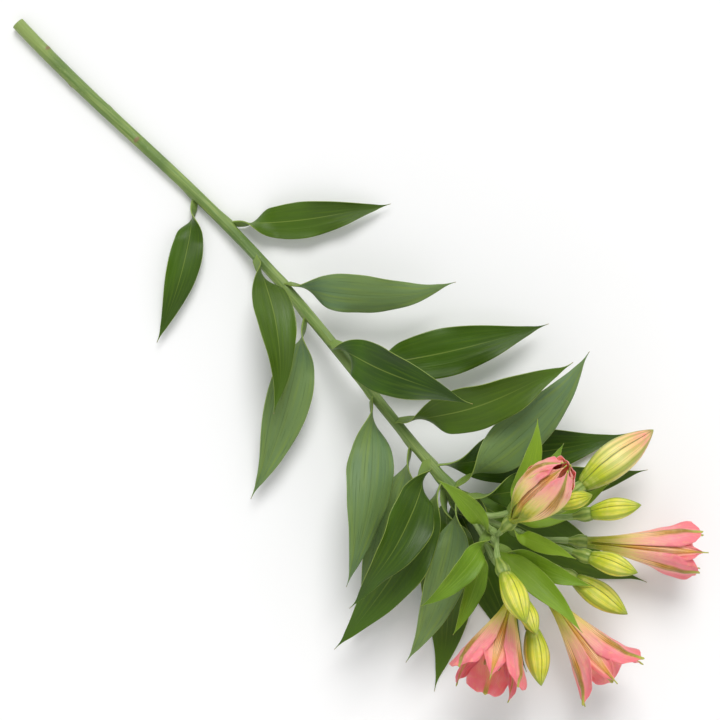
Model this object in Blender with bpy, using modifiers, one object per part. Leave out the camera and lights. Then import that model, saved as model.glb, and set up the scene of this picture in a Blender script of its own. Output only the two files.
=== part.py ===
"""A cut alstroemeria stem, laid down: a Blender script that models it as separate solids.

Units are metres and +Z is up. The stem lies along +X with its cut end at -X, on the plane Z = 0.
The bare lower stem rests on that plane. Towards the head the stem rises, carried by the leaves
that touch the plane on both sides of it. Every leaf, bract, flower stalk, bud and bloom is a
solid of its own, and sits a small gap away from what it grows on.
"""
import math
from collections import namedtuple

import bmesh
import bpy
import numpy as np
from mathutils import Matrix, Vector

MM = 0.001

# Driving dimensions of the whole stem
STEM_LENGTH = 335 * MM        # from the cut to the swelling that the flower stalks leave
CUT_RADIUS = 3.2 * MM
TOP_RADIUS = 2.5 * MM
SWELLING_RADIUS = 4.6 * MM    # the node under the flower stalks
SWELLING_LENGTH = 9 * MM
RISE_START = 120 * MM         # the bare stem lies flat up to here
HEAD_RISE = 30 * MM           # how far the head is carried over the bare stem
SWAY = 8 * MM                 # how far the stem bows to the side halfway along

# Fits and thicknesses
SEAT_GAP = 0.3 * MM
BLADE_THICKNESS = 0.62 * MM
TEPAL_THICKNESS = 0.6 * MM
FLOOR_GAP = 0.05 * MM

# Colours, as red, green, blue and alpha, then roughness
STEM_GREEN = ((0.13, 0.24, 0.07, 1), 0.5)
LEAF_GREEN = ((0.06, 0.15, 0.04, 1), 0.4)
BRACT_GREEN = ((0.15, 0.30, 0.04, 1), 0.4)
STALK_GREEN = ((0.20, 0.34, 0.08, 1), 0.5)
BUD_YELLOW = ((0.50, 0.55, 0.12, 1), 0.45)
BLOOM_PINK = ((0.85, 0.28, 0.26, 1), 0.5)
STAMEN_ROSE = ((0.70, 0.30, 0.22, 1), 0.6)

TAU = 2 * math.pi


def smoothstep(value):
    """0 below 0, 1 above 1, and a smooth S between them."""
    held = np.clip(value, 0, 1)
    return held * held * (3 - 2 * held)


def heading_vector(heading, rise):
    """Unit vector for a plan heading from +X towards +Y and a rise over the floor, in degrees."""
    turn = np.radians(heading)
    lift = np.radians(rise)
    return np.stack([np.cos(lift) * np.cos(turn), np.cos(lift) * np.sin(turn), np.sin(lift)], axis=-1)


def unit(vectors):
    return vectors / np.linalg.norm(vectors, axis=-1, keepdims=True)


def level_frame(tangent):
    """The left and the up vector of a path, up being as near to +Z as the path allows."""
    left = unit(np.cross((0, 0, 1), tangent))
    return left, np.cross(tangent, left)


def new_material(name, look):
    colour, roughness = look
    material = bpy.data.materials.new(name)
    material.use_nodes = True
    shader = material.node_tree.nodes["Principled BSDF"]
    shader.inputs["Base Color"].default_value = colour
    shader.inputs["Roughness"].default_value = roughness
    shader.inputs["Metallic"].default_value = 0
    return material


def add_object(name, mesh, material=None):
    thing = bpy.data.objects.new(name, mesh)
    if material:
        mesh.materials.clear()
        mesh.materials.append(material)
    plant.objects.link(thing)
    thing.parent = origin
    return thing


def mesh_from(name, bm):
    """Closes a bmesh off as a mesh, shaded smooth, with its faces pointing out."""
    bmesh.ops.recalc_face_normals(bm, faces=bm.faces)
    if bm.calc_volume(signed=True) < 0:
        bmesh.ops.reverse_faces(bm, faces=bm.faces)
    mesh = bpy.data.meshes.new(name)
    bm.to_mesh(mesh)
    bm.free()
    mesh.shade_smooth()
    return mesh


def tube_mesh(name, points, radii, sides_level):
    """A round rod along points: a bevelled curve made a mesh, with its caps welded on."""
    curve = bpy.data.curves.new(name, "CURVE")
    curve.dimensions = "3D"
    curve.bevel_depth = 1.0
    curve.bevel_resolution = sides_level
    curve.use_fill_caps = True
    spline = curve.splines.new("POLY")
    spline.points.add(len(points) - 1)
    for knot, point, radius in zip(spline.points, points, radii):
        knot.co = (*point, 1)
        knot.radius = radius
    rod = bpy.data.objects.new(name, curve)
    plant.objects.link(rod)
    evaluated = rod.evaluated_get(bpy.context.evaluated_depsgraph_get())
    mesh = bpy.data.meshes.new_from_object(evaluated)
    bpy.data.objects.remove(rod)
    bm = bmesh.new()
    bm.from_mesh(mesh)
    bpy.data.meshes.remove(mesh)
    bmesh.ops.remove_doubles(bm, verts=bm.verts, dist=0.01 * MM)
    return mesh_from(name, bm)


def ball_mesh(name, segments, rings, shape):
    """A closed body: a sphere whose points shape() moves, given their place along and around it."""
    bm = bmesh.new()
    bmesh.ops.create_uvsphere(bm, u_segments=segments, v_segments=rings, radius=1)
    directions = np.array([vert.co for vert in bm.verts])
    along = np.arccos(np.clip(-directions[:, 2], -1, 1)) / math.pi
    around = np.arctan2(directions[:, 1], directions[:, 0])
    for vert, place in zip(bm.verts, shape(along, around)):
        vert.co = place
    return mesh_from(name, bm)


def sheet_mesh(name, across, along, surface):
    """An open sheet: a grid whose points surface() places, from v = -1 to 1 and s = 0 to 1."""
    bm = bmesh.new()
    bmesh.ops.create_grid(bm, x_segments=across, y_segments=along, size=1)
    flat = np.array([vert.co for vert in bm.verts])
    for vert, place in zip(bm.verts, surface(flat[:, 0], (flat[:, 1] + 1) / 2)):
        vert.co = place
    bmesh.ops.triangulate(bm, faces=bm.faces)
    mesh = bpy.data.meshes.new(name)
    bm.to_mesh(mesh)
    bm.free()
    mesh.shade_smooth()
    return mesh


def thicken(sheet, thickness):
    """Gives a sheet its wall, half to each side, so that both faces have the same triangles."""
    wall = sheet.modifiers.new("wall", "SOLIDIFY")
    wall.thickness = thickness
    wall.offset = 0


def as_mesh(thing):
    """The object's evaluated mesh, kept as a mesh of its own."""
    evaluated = thing.evaluated_get(bpy.context.evaluated_depsgraph_get())
    return bpy.data.meshes.new_from_object(evaluated)


def fuse(name, core_mesh, piece_meshes, material):
    """One solid of a core and the pieces rooted in it, by one Boolean union on a collection."""
    core = add_object(name, core_mesh, material)
    rooted = bpy.data.collections.new(name + "_pieces")
    bpy.context.scene.collection.children.link(rooted)
    for piece_mesh in piece_meshes:
        piece = bpy.data.objects.new(piece_mesh.name, piece_mesh)
        piece.parent = origin
        rooted.objects.link(piece)
    union = core.modifiers.new("union", "BOOLEAN")
    union.operation = "UNION"
    union.operand_type = "COLLECTION"
    union.collection = rooted
    union.solver = "MANIFOLD"
    joined = as_mesh(core)
    core.modifiers.remove(union)
    for piece in list(rooted.objects):
        bpy.data.objects.remove(piece)
    bpy.data.collections.remove(rooted)
    core.data = joined
    joined.materials.clear()
    joined.materials.append(material)
    joined.shade_smooth()
    return core


# Main stem

def stem_radius(x):
    """Tapers from the cut to the top, then swells where the flower stalks leave."""
    taper = CUT_RADIUS + (TOP_RADIUS - CUT_RADIUS) * x / STEM_LENGTH
    swelling = smoothstep((x - STEM_LENGTH + SWELLING_LENGTH) / (0.7 * SWELLING_LENGTH))
    return taper + (SWELLING_RADIUS - TOP_RADIUS) * swelling


def stem_axis(x):
    """Points on the stem's axis: flat on the floor, then rising, with one slow bow to the side."""
    bow = SWAY * np.sin(math.pi * x / STEM_LENGTH) ** 2
    taper = CUT_RADIUS + (TOP_RADIUS - CUT_RADIUS) * x / STEM_LENGTH
    rise = HEAD_RISE * smoothstep((x - RISE_START) / (STEM_LENGTH - RISE_START))
    return np.stack([x, bow, taper + rise], axis=-1)


def make_main_stem():
    body = np.linspace(0, STEM_LENGTH - SWELLING_LENGTH, 22)
    swelling = STEM_LENGTH - SWELLING_LENGTH * np.array([0.75, 0.5, 0.25, 0])
    x = np.concatenate([body, swelling])
    mesh = tube_mesh("main_stem", stem_axis(x), stem_radius(x), sides_level=2)
    add_object("main_stem", mesh, stem_green)


# Blades: leaves and bracts

# A blade starts at a place along and around what carries it. It sets out on a plan heading and a
# rise, and by its tip these have changed by swing and droop. Bank tips the blade about its midrib,
# fold lifts its edges as a share of its half width, and wave ripples them. Angles are in degrees.
Blade = namedtuple("Blade", "along around heading swing rise droop length width bank fold wave")

PETIOLE_HALF_WIDTH = 2.1 * MM
TIP_HALF_WIDTH = 0.35 * MM
TWIST_SHARE = 0.28            # the share of a blade's length in which its base turns over
WIDEST_BASE_POWER = 1.4
WIDEST_TIP_POWER = 1.8
DROOP_POWER = 1.3             # a blade droops more towards its tip than near its base
FLOOR_SOFTNESS = 0.8 * MM     # how gently a midrib that comes down to the floor levels out on it
WAVES_ALONG = 1.7
WAVE_SHIFT = 1.1              # how far the two edges' waves are out of step, in radians
BASE_CROWDING = 1.3           # sections are closer together near the base, where the blade turns
MIDRIB_STEPS = 160
LEAF_GRID = (4, 11)
BRACT_GRID = (3, 8)


def blade_half_width(blade, s):
    """A lance shape: narrow stalk, widest a little below the middle, and a drawn-out tip."""
    peak = WIDEST_BASE_POWER / (WIDEST_BASE_POWER + WIDEST_TIP_POWER)
    highest = peak ** WIDEST_BASE_POWER * (1 - peak) ** WIDEST_TIP_POWER
    lance = s ** WIDEST_BASE_POWER * (1 - s) ** WIDEST_TIP_POWER / highest
    stalk = PETIOLE_HALF_WIDTH + (TIP_HALF_WIDTH - PETIOLE_HALF_WIDTH) * s
    return stalk + (blade.width / 2 - PETIOLE_HALF_WIDTH) * lance


def blade_surface(blade, foot, foot_tangent, foot_radius):
    """The blade's middle surface as a function of v across, from -1 to 1, and s along."""
    left, up = level_frame(foot_tangent)
    around = math.radians(blade.around)
    radial = math.cos(around) * left + math.sin(around) * up
    start = foot + radial * (foot_radius + SEAT_GAP + BLADE_THICKNESS / 2)

    steps = np.linspace(0, 1, MIDRIB_STEPS)
    rise = blade.rise + blade.droop * steps ** DROOP_POWER
    toward = heading_vector(blade.heading + blade.swing * steps, rise)
    walked = np.cumsum((toward[1:] + toward[:-1]) / 2, axis=0) * blade.length / (MIDRIB_STEPS - 1)
    midrib = start + np.concatenate([np.zeros((1, 3)), walked])
    floor = FLOOR_GAP + BLADE_THICKNESS / 2
    midrib[:, 2] = floor + FLOOR_SOFTNESS * np.logaddexp(0, (midrib[:, 2] - floor) / FLOOR_SOFTNESS)
    tangent = unit(np.gradient(midrib, axis=0))
    side, face = level_frame(tangent)

    # The base lies flat against its carrier and turns over by a quarter to a half turn
    lean = math.atan2(-float(np.dot(radial, side[0])), float(np.dot(radial, face[0])))
    if abs(lean) < math.pi / 2:
        lean -= math.copysign(math.pi, lean)
    turned = smoothstep(steps / TWIST_SHARE)
    roll = lean * (1 - turned) + math.radians(blade.bank) * turned
    across = np.cos(roll)[:, None] * side + np.sin(roll)[:, None] * face
    normal = np.cos(roll)[:, None] * face - np.sin(roll)[:, None] * side

    def surface(v, s):
        s = s ** BASE_CROWDING
        half = blade_half_width(blade, s)
        grown = smoothstep((s - TWIST_SHARE / 2) / TWIST_SHARE)
        ripple = np.sin(TAU * WAVES_ALONG * s + WAVE_SHIFT * np.sign(v) + around)
        lift = half * grown * (blade.fold * v * v + blade.wave * np.abs(v) ** 3 * ripple)
        place = np.stack([np.interp(s, steps, midrib[:, i]) for i in range(3)], axis=-1)
        sideways = np.stack([np.interp(s, steps, across[:, i]) for i in range(3)], axis=-1)
        upward = np.stack([np.interp(s, steps, normal[:, i]) for i in range(3)], axis=-1)
        points = place + (half * v)[:, None] * sideways + lift[:, None] * upward
        points[:, 2] = np.maximum(points[:, 2], floor)
        return points

    return surface


def make_blade(name, blade, foot, foot_tangent, foot_radius, grid, material):
    across, along = grid
    mesh = sheet_mesh(name, across, along, blade_surface(blade, foot, foot_tangent, foot_radius))
    thicken(add_object(name, mesh, material), BLADE_THICKNESS)


# Leaves up the stem, from the lowest to those crowded under the flower stalks
LEAVES = {
    "leaf_01": Blade(126 * MM, 205, -48, -20, 12, -22, 74 * MM, 18 * MM, -10, 0.2, 0.10),
    "leaf_02": Blade(148 * MM, -20, 46, 18, 12, -26, 80 * MM, 20 * MM, 12, 0.2, 0.12),
    "leaf_03": Blade(169 * MM, 120, -16, -34, 42, -66, 86 * MM, 21 * MM, -20, 0.25, 0.14),
    "leaf_04": Blade(189 * MM, 35, 30, 30, 30, -52, 88 * MM, 22 * MM, 20, -0.15, 0.15),
    "leaf_05": Blade(208 * MM, 195, -52, -14, 4, -16, 94 * MM, 24 * MM, -6, 0.18, 0.12),
    "leaf_06": Blade(226 * MM, 80, 12, 24, 54, -60, 88 * MM, 24 * MM, 14, 0.22, 0.14),
    "leaf_07": Blade(243 * MM, -10, 54, 12, 0, -14, 98 * MM, 26 * MM, 6, 0.15, 0.10),
    "leaf_08": Blade(260 * MM, 150, -38, -24, 30, -46, 96 * MM, 25 * MM, -18, -0.18, 0.15),
    "leaf_09": Blade(276 * MM, 50, 50, 34, 36, -62, 96 * MM, 26 * MM, 22, 0.2, 0.15),
    "leaf_10": Blade(290 * MM, 200, -50, -18, -8, -8, 102 * MM, 28 * MM, -5, 0.15, 0.10),
    "leaf_11": Blade(300 * MM, 105, -52, -40, 48, -74, 90 * MM, 25 * MM, -25, 0.22, 0.14),
    "leaf_12": Blade(305 * MM, -22, 51, 8, -26, 22, 102 * MM, 28 * MM, 5, 0.14, 0.08),
    "leaf_13": Blade(313 * MM, 170, -66, -20, 14, -34, 98 * MM, 27 * MM, -14, 0.2, 0.14),
    "leaf_14": Blade(318 * MM, 15, 80, 22, 10, -26, 94 * MM, 26 * MM, 14, -0.16, 0.15),
    "leaf_15": Blade(314 * MM, 238, -36, -14, -27, 22, 112 * MM, 30 * MM, 0, 0.12, 0.06),
    "leaf_16": Blade(322 * MM, 298, 16, 6, -27, 24, 112 * MM, 31 * MM, 0, 0.12, 0.06),
    "leaf_17": Blade(316 * MM, 262, -18, -4, -38, 44, 112 * MM, 26 * MM, 0, 0.12, 0.06),
    "leaf_18": Blade(325 * MM, 190, -46, -28, 2, -14, 84 * MM, 22 * MM, -10, 0.2, 0.12),
    "leaf_19": Blade(326 * MM, 12, 52, 4, -15, 6, 94 * MM, 23 * MM, 8, 0.2, 0.12),
}


def make_leaves():
    for name, leaf in LEAVES.items():
        step = 0.5 * MM
        before, foot, after = stem_axis(np.array([leaf.along - step, leaf.along, leaf.along + step]))
        radius = float(stem_radius(leaf.along))
        make_blade(name, leaf, foot, unit(after - before), radius, LEAF_GRID, leaf_green)


# Flower stalks, each forking to its florets, with an ovary at each end

# A floret's seat is the top of its ovary: how far ahead of where the stalks leave the stem, how
# far to the left of it and how far over it. Heading and rise give the direction in which the
# floret points, and roll turns it about that.
Floret = namedtuple("Floret", "ahead left over heading rise roll")
Ray = namedtuple("Ray", "spot fork florets")

STALK_RADIUS = 1.5 * MM
PEDICEL_RADIUS = 1.15 * MM
PEDICEL_END_RADIUS = 1.7 * MM
FORK_RADIUS = 1.9 * MM
STALK_CIRCLE = 2.9 * MM       # the stalks leave the swelling on a circle of this radius
STALK_STATIONS = 6
PEDICEL_STATIONS = 7
OVARY_LENGTH = 10 * MM
OVARY_RADIUS = 3.4 * MM
OVARY_TOP_RADIUS = 3.1 * MM
OVARY_SHOULDER = 0.75         # above this share of its length an ovary is no narrower than its top
OVARY_CAP = 0.94              # its flat top starts at this share
OVARY_RIB = 0.05              # how far its ribs stand out, as a share of its radius
OVARY_SUNK = 1 * MM           # how far the pedicel runs up into it
OVARY_FULLNESS = 0.6          # the lower this power, the sooner an ovary reaches its full girth
OVARY_TOP_HEAVY = 1.6         # the higher this power, the nearer to its top it is widest
OVARY_SIDES = 12
OVARY_RINGS = 6

RAYS = {
    "a": Ray(162, (21 * MM, -8 * MM, 4 * MM), {
        "1": Floret(42 * MM, -15 * MM, 6 * MM, -62, 26, -55),
        "2": Floret(59 * MM, -18 * MM, 12 * MM, -34, 6, 0),
        "3": Floret(45 * MM, -12 * MM, 18 * MM, -20, 34, 0),
    }),
    "b": Ray(234, (24 * MM, -3 * MM, -4 * MM), {
        "1": Floret(54 * MM, -1 * MM, -3 * MM, -6, 8, 60),
        "2": Floret(57 * MM, 14 * MM, 1 * MM, 14, 8, 0),
    }),
    "c": Ray(306, (22 * MM, 10 * MM, -4 * MM), {
        "1": Floret(48 * MM, 31 * MM, -5 * MM, 42, -4, 60),
        "2": Floret(53 * MM, 27 * MM, 12 * MM, 30, 22, 0),
    }),
    "d": Ray(18, (13 * MM, 17 * MM, 6 * MM), {
        "1": Floret(25 * MM, 48 * MM, 7 * MM, 84, -14, 0),
        "2": Floret(37 * MM, 42 * MM, 17 * MM, 58, 16, 0),
        "3": Floret(24 * MM, 35 * MM, 24 * MM, 70, 40, 0),
    }),
    "e": Ray(90, (11 * MM, 1 * MM, 18 * MM), {
        "1": Floret(11 * MM, 12 * MM, 38 * MM, 96, 40, 40),
        "2": Floret(28 * MM, -9 * MM, 37 * MM, -20, 36, 0),
    }),
}


def hermite(start, start_pull, end, end_pull, count):
    """A smooth curve from start to end that leaves along one vector and arrives along another."""
    t = np.linspace(0, 1, count)[:, None]
    from_start = (2 * t ** 3 - 3 * t ** 2 + 1) * start + (t ** 3 - 2 * t ** 2 + t) * start_pull
    to_end = (3 * t ** 2 - 2 * t ** 3) * end + (t ** 3 - t ** 2) * end_pull
    return from_start + to_end


def head_point(ahead, left, over):
    """A point given from where the flower stalks leave the stem."""
    return stem_axis(np.array(STEM_LENGTH)) + np.array([ahead, left, over])


def floret_seat(floret):
    """The middle of the ovary's top and the direction in which the floret points."""
    return head_point(*floret[:3]), heading_vector(floret.heading, floret.rise)


def ray_start(ray):
    spot = math.radians(ray.spot)
    return head_point(2 * SEAT_GAP, STALK_CIRCLE * math.cos(spot), STALK_CIRCLE * math.sin(spot))


def stalk_points(ray, count):
    """From the swelling, which it leaves straight ahead, to the fork."""
    start = ray_start(ray)
    fork = head_point(*ray.fork)
    reach = np.linalg.norm(fork - start)
    return hermite(start, np.array([reach, 0, 0]), fork, fork - start, count)


def pedicel_points(ray, floret, count):
    """From the fork to the foot of the ovary, arriving along the floret's own direction."""
    fork = head_point(*ray.fork)
    leaving = unit(fork - ray_start(ray))
    seat, pointing = floret_seat(floret)
    foot = seat - pointing * (OVARY_LENGTH - OVARY_SUNK)
    reach = np.linalg.norm(foot - fork)
    return hermite(fork, leaving * reach, foot, pointing * reach, count)


def placed(points, seat, pointing, roll):
    """Points of a floret's own frame, with +Z along it, set at its seat."""
    left, up = level_frame(pointing)
    turn = math.radians(roll)
    first = math.cos(turn) * left + math.sin(turn) * up
    second = math.cos(turn) * up - math.sin(turn) * left
    return seat + points @ np.stack([first, second, pointing])


def ovary_shape(along, around):
    """A top with six ribs, widest near its flat upper end."""
    radius = OVARY_RADIUS * np.sin(math.pi * along ** OVARY_TOP_HEAVY) ** OVARY_FULLNESS
    top = OVARY_TOP_RADIUS * (along < 0.999)
    radius = np.where(along > OVARY_SHOULDER, np.maximum(radius, top), radius)
    ribbed = radius * (1 + OVARY_RIB * np.cos(6 * around))
    height = OVARY_LENGTH * (np.minimum(along, OVARY_CAP) / OVARY_CAP - 1)
    return np.stack([ribbed * np.cos(around), ribbed * np.sin(around), height], axis=-1)


def make_ray(name, ray):
    girth = np.full(STALK_STATIONS, STALK_RADIUS)
    stalk = tube_mesh(name, stalk_points(ray, STALK_STATIONS), girth, sides_level=1)
    pieces = []
    fork = head_point(*ray.fork)

    def knuckle(along, around):
        spread = FORK_RADIUS * np.sin(math.pi * along)
        rise = -FORK_RADIUS * np.cos(math.pi * along)
        return fork + np.stack([spread * np.cos(around), spread * np.sin(around), rise], axis=-1)

    pieces.append(ball_mesh("knuckle", 6, 4, knuckle))
    for floret in ray.florets.values():
        seat, pointing = floret_seat(floret)
        radii = np.linspace(PEDICEL_RADIUS, PEDICEL_END_RADIUS, PEDICEL_STATIONS)
        path = pedicel_points(ray, floret, PEDICEL_STATIONS)
        pieces.append(tube_mesh("pedicel", path, radii, sides_level=1))

        def ovary(along, around, seat=seat, pointing=pointing, roll=floret.roll):
            return placed(ovary_shape(along, around), seat, pointing, roll)

        pieces.append(ball_mesh("ovary", OVARY_SIDES, OVARY_RINGS, ovary))
    fuse(name, stalk, pieces, stalk_green)


# Buds

# Length and thickness of each bud, by ray and floret
BUDS = {
    "a2": (27 * MM, 12 * MM),
    "a3": (19 * MM, 8.5 * MM),
    "b2": (30 * MM, 12.5 * MM),
    "c2": (24 * MM, 10.5 * MM),
    "d1": (46 * MM, 17 * MM),
    "d2": (24 * MM, 10.5 * MM),
    "d3": (17 * MM, 8 * MM),
    "e2": (28 * MM, 12 * MM),
}
BUD_FOOT_RADIUS = 2.9 * MM
BUD_GROOVE = 0.07             # how deep the grooves between its lobes are, as a share of its radius
BUD_FULLNESS = 0.85           # the lower this power, the sooner a bud reaches its full girth
BUD_LOW_BELLY = 0.9           # the lower this power, the nearer to its foot it is widest
BUD_FOOT_FADE = 6             # the higher this power, the shorter the foot
BUD_SIDES = 12
BUD_RINGS = 8


def bud_shape(length, thickness):
    """A pointed spindle of three lobes, on a flat foot nearly as wide as the ovary."""
    def shape(along, around):
        climb = np.clip((along * BUD_RINGS - 1) / (BUD_RINGS - 1), 0, 1)
        belly = thickness / 2 * np.sin(math.pi * climb ** BUD_LOW_BELLY) ** BUD_FULLNESS
        lobes = 1 + BUD_GROOVE * np.cos(3 * around)
        foot = BUD_FOOT_RADIUS * (1 - climb) ** BUD_FOOT_FADE
        radius = (belly + foot) * (along > 0.001) * lobes
        height = SEAT_GAP + length * climb
        return np.stack([radius * np.cos(around), radius * np.sin(around), height], axis=-1)
    return shape


def place_floret(thing, floret):
    """Sets an object modelled along +Z on its ovary, by its location and rotation."""
    seat, pointing = floret_seat(floret)
    axes = placed(np.eye(3), np.zeros(3), pointing, floret.roll)
    thing.location = Vector(seat)
    thing.rotation_euler = Matrix(axes.T.tolist()).to_euler()


def make_bud(name, floret, length, thickness):
    mesh = ball_mesh(name, BUD_SIDES, BUD_RINGS, bud_shape(length, thickness))
    place_floret(add_object(name, mesh, bud_yellow), floret)


# Blooms

# The distance of the outer tepals from the bloom's axis at the quarters of their length
FLARE_STATIONS = (0, 0.25, 0.5, 0.75, 1)
Bloom = namedtuple("Bloom", "length flare outer_width inner_width")
BLOOMS = {
    "a1": Bloom(48 * MM, (2.6, 6.0, 11.0, 15.2, 18.4), 24 * MM, 14 * MM),
    "b1": Bloom(54 * MM, (2.6, 4.9, 8.8, 13.2, 19.5), 22 * MM, 13 * MM),
    "c1": Bloom(56 * MM, (2.6, 4.6, 7.6, 10.4, 11.6), 20 * MM, 12 * MM),
    "e1": Bloom(47 * MM, (2.6, 8.2, 11.8, 10.8, 5.4), 26 * MM, 14 * MM),
}
RECEPTACLE_RADIUS = 3.3 * MM
RECEPTACLE_HEIGHT = 2.2 * MM
RECEPTACLE_SIDES = 12
CLAW_START = 1.2 * MM         # the tepals are sunk into the receptacle from this height
INNER_STEP = 0.9 * MM         # the inner tepals stand this much nearer to the axis at their claw
INNER_LEAN = 0.5 * MM         # and this much more at their tip
MOST_WRAP = 0.9               # no tepal spans more than this angle to each side, in radians
FLATTENING = 0.45             # how much flatter across a tepal gets towards its tip
DRAWN_IN = 0.09               # how far short of the tip its corners end, as a share of its length
RUFFLE = 0.9 * MM             # how far the edges at the mouth swing in and out
RUFFLE_WAVES = 11
SPREAD_DIFFERENCE = 0.07      # how much more or less than the flare a single tepal spreads
CORNERS_FROM = 0.6            # above this share of its length a tepal's corners fall short
MOUTH_FROM = 0.55             # the ruffle grows from this share of its length
MOUTH_LENGTH = 0.3            # and is full this much further on
TEPAL_STEPS = 200
TEPAL_GRID = (4, 7)

# How wide a tepal is: half its claw, the share of its length at which it is widest, the share of
# its width that is gone at its tip, and the power by which it goes
Outline = namedtuple("Outline", "claw peak gone power")
OUTER_OUTLINE = Outline(2.3 * MM, 0.64, 0.42, 2.4)
INNER_OUTLINE = Outline(1.4 * MM, 0.62, 0.9, 1.6)


def tepal_surface(bloom, kind, index):
    """A tepal's middle surface, narrow at its claw, cupped round the axis and flared at the mouth."""
    steps = np.linspace(0, 1, TEPAL_STEPS)
    curve = np.polyfit(FLARE_STATIONS, np.array(bloom.flare) * MM, 4)
    spread = 1 + SPREAD_DIFFERENCE * np.sin(2.3 * index + 100 * bloom.length / MM)
    radius = bloom.flare[0] * MM + (np.polyval(curve, steps) - bloom.flare[0] * MM) * spread
    inner = kind == "inner"
    if inner:
        radius -= INNER_STEP + INNER_LEAN * steps
    slope = np.gradient(radius, steps * bloom.length)
    stretch = np.sqrt(np.clip(1 - slope ** 2, 0.05, 1))
    walked = np.concatenate([[0], np.cumsum((stretch[1:] + stretch[:-1]) / 2)]) / (TEPAL_STEPS - 1)
    height = CLAW_START + bloom.length * walked
    middle = math.radians(90 + 120 * index + (60 if inner else 0))
    outline = INNER_OUTLINE if inner else OUTER_OUTLINE
    widest = (bloom.inner_width if inner else bloom.outer_width) / 2

    def surface(v, s):
        s = s - DRAWN_IN * v * v * smoothstep((s - CORNERS_FROM) / (1 - CORNERS_FROM))
        out = np.interp(s, steps, radius)
        up = np.interp(s, steps, height)
        bend = out * (1 + FLATTENING * s ** 2)
        taper = np.clip((s - outline.peak) / (1 - outline.peak), 0, 1) ** outline.power
        half = outline.claw + (widest - outline.claw) * smoothstep(s / outline.peak)
        half = np.minimum(half * (1 - outline.gone * taper), MOST_WRAP * out)
        wrap = half * v / bend
        mouth = np.abs(v) ** 3 * smoothstep((s - MOUTH_FROM) / MOUTH_LENGTH)
        ripple = RUFFLE * mouth * np.sin(RUFFLE_WAVES * s + 2 * index)
        outward = out - bend + (bend + ripple) * np.cos(wrap)
        sideways = (bend + ripple) * np.sin(wrap)
        x = outward * math.cos(middle) - sideways * math.sin(middle)
        y = outward * math.sin(middle) + sideways * math.cos(middle)
        return np.stack([x, y, up], axis=-1)

    return surface


def make_bloom(name, floret, bloom):
    bm = bmesh.new()
    bmesh.ops.create_cone(
        bm, cap_ends=True, segments=RECEPTACLE_SIDES, radius1=OVARY_TOP_RADIUS,
        radius2=RECEPTACLE_RADIUS, depth=RECEPTACLE_HEIGHT)
    bmesh.ops.translate(bm, verts=bm.verts, vec=(0, 0, SEAT_GAP + RECEPTACLE_HEIGHT / 2))
    receptacle = mesh_from(name, bm)
    tepals = []
    across, along = TEPAL_GRID
    for kind in ("outer", "inner"):
        for index in range(3):
            surface = tepal_surface(bloom, kind, index)
            sheet = add_object("tepal", sheet_mesh("tepal", across, along, surface))
            thicken(sheet, TEPAL_THICKNESS)
            tepals.append(as_mesh(sheet))
            bpy.data.objects.remove(sheet)
    place_floret(fuse(name, receptacle, tepals, bloom_pink), floret)


# Stamens, in the blooms that are open enough to show them

STAMENS_IN = ("a1", "b1", "e1")
STAMEN_SEAT_RADIUS = 1.0 * MM
STAMEN_SEAT_HEIGHT = 1.6 * MM
FILAMENT_RADIUS = 0.4 * MM
FILAMENT_SPREAD = 3.2 * MM    # how far each filament leans out from the axis by its end
FILAMENT_REACH = 0.62         # how far up the bloom they end, as a share of its length
REACH_DIFFERENCE = 0.06       # and how much more or less a single one may reach
FILAMENT_ROOT = 0.45          # how far out they stand on their seat, as a share of its radius
FILAMENT_BEND = 1.5           # the higher this power, the later they lean out
FILAMENT_FOOT = 0.8 * MM      # how far over the receptacle they start, inside their seat
FILAMENT_STATIONS = 4
ANTHER_LENGTH = 3.6 * MM
ANTHER_RADIUS = 0.8 * MM
ANTHER_FULLNESS = 0.7         # the lower this power, the blunter its ends
ANTHER_HELD_AT = 0.4          # the share of its length at which the filament holds it


def filament_points(bloom, index, count):
    """A filament that leans out a little from the axis, and further towards its end."""
    t = np.linspace(0, 1, count)
    turn = math.radians(60 * index)
    reach = bloom.length * (FILAMENT_REACH + REACH_DIFFERENCE * math.sin(2.2 * index))
    out = STAMEN_SEAT_RADIUS * FILAMENT_ROOT + FILAMENT_SPREAD * t ** FILAMENT_BEND
    up = SEAT_GAP + RECEPTACLE_HEIGHT + FILAMENT_FOOT + reach * t
    return np.stack([out * math.cos(turn), out * math.sin(turn), up], axis=-1)


def make_stamens(name, floret, bloom):
    seat_foot = RECEPTACLE_HEIGHT + 2 * SEAT_GAP
    bm = bmesh.new()
    bmesh.ops.create_cone(
        bm, cap_ends=True, segments=8, radius1=STAMEN_SEAT_RADIUS, radius2=STAMEN_SEAT_RADIUS,
        depth=STAMEN_SEAT_HEIGHT)
    bmesh.ops.translate(bm, verts=bm.verts, vec=(0, 0, seat_foot + STAMEN_SEAT_HEIGHT / 2))
    seat = mesh_from(name, bm)
    pieces = []
    for index in range(6):
        points = filament_points(bloom, index, FILAMENT_STATIONS)
        girth = np.full(FILAMENT_STATIONS, FILAMENT_RADIUS)
        pieces.append(tube_mesh("filament", points, girth, sides_level=0))
        end = points[-1]

        def anther(along, around, end=end):
            girth = ANTHER_RADIUS * np.sin(math.pi * along) ** ANTHER_FULLNESS
            rise = ANTHER_LENGTH * (along - ANTHER_HELD_AT)
            return end + np.stack([girth * np.cos(around), girth * np.sin(around), rise], axis=-1)

        pieces.append(ball_mesh("anther", 5, 4, anther))
    place_floret(fuse(name, seat, pieces, stamen_rose), floret)


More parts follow.
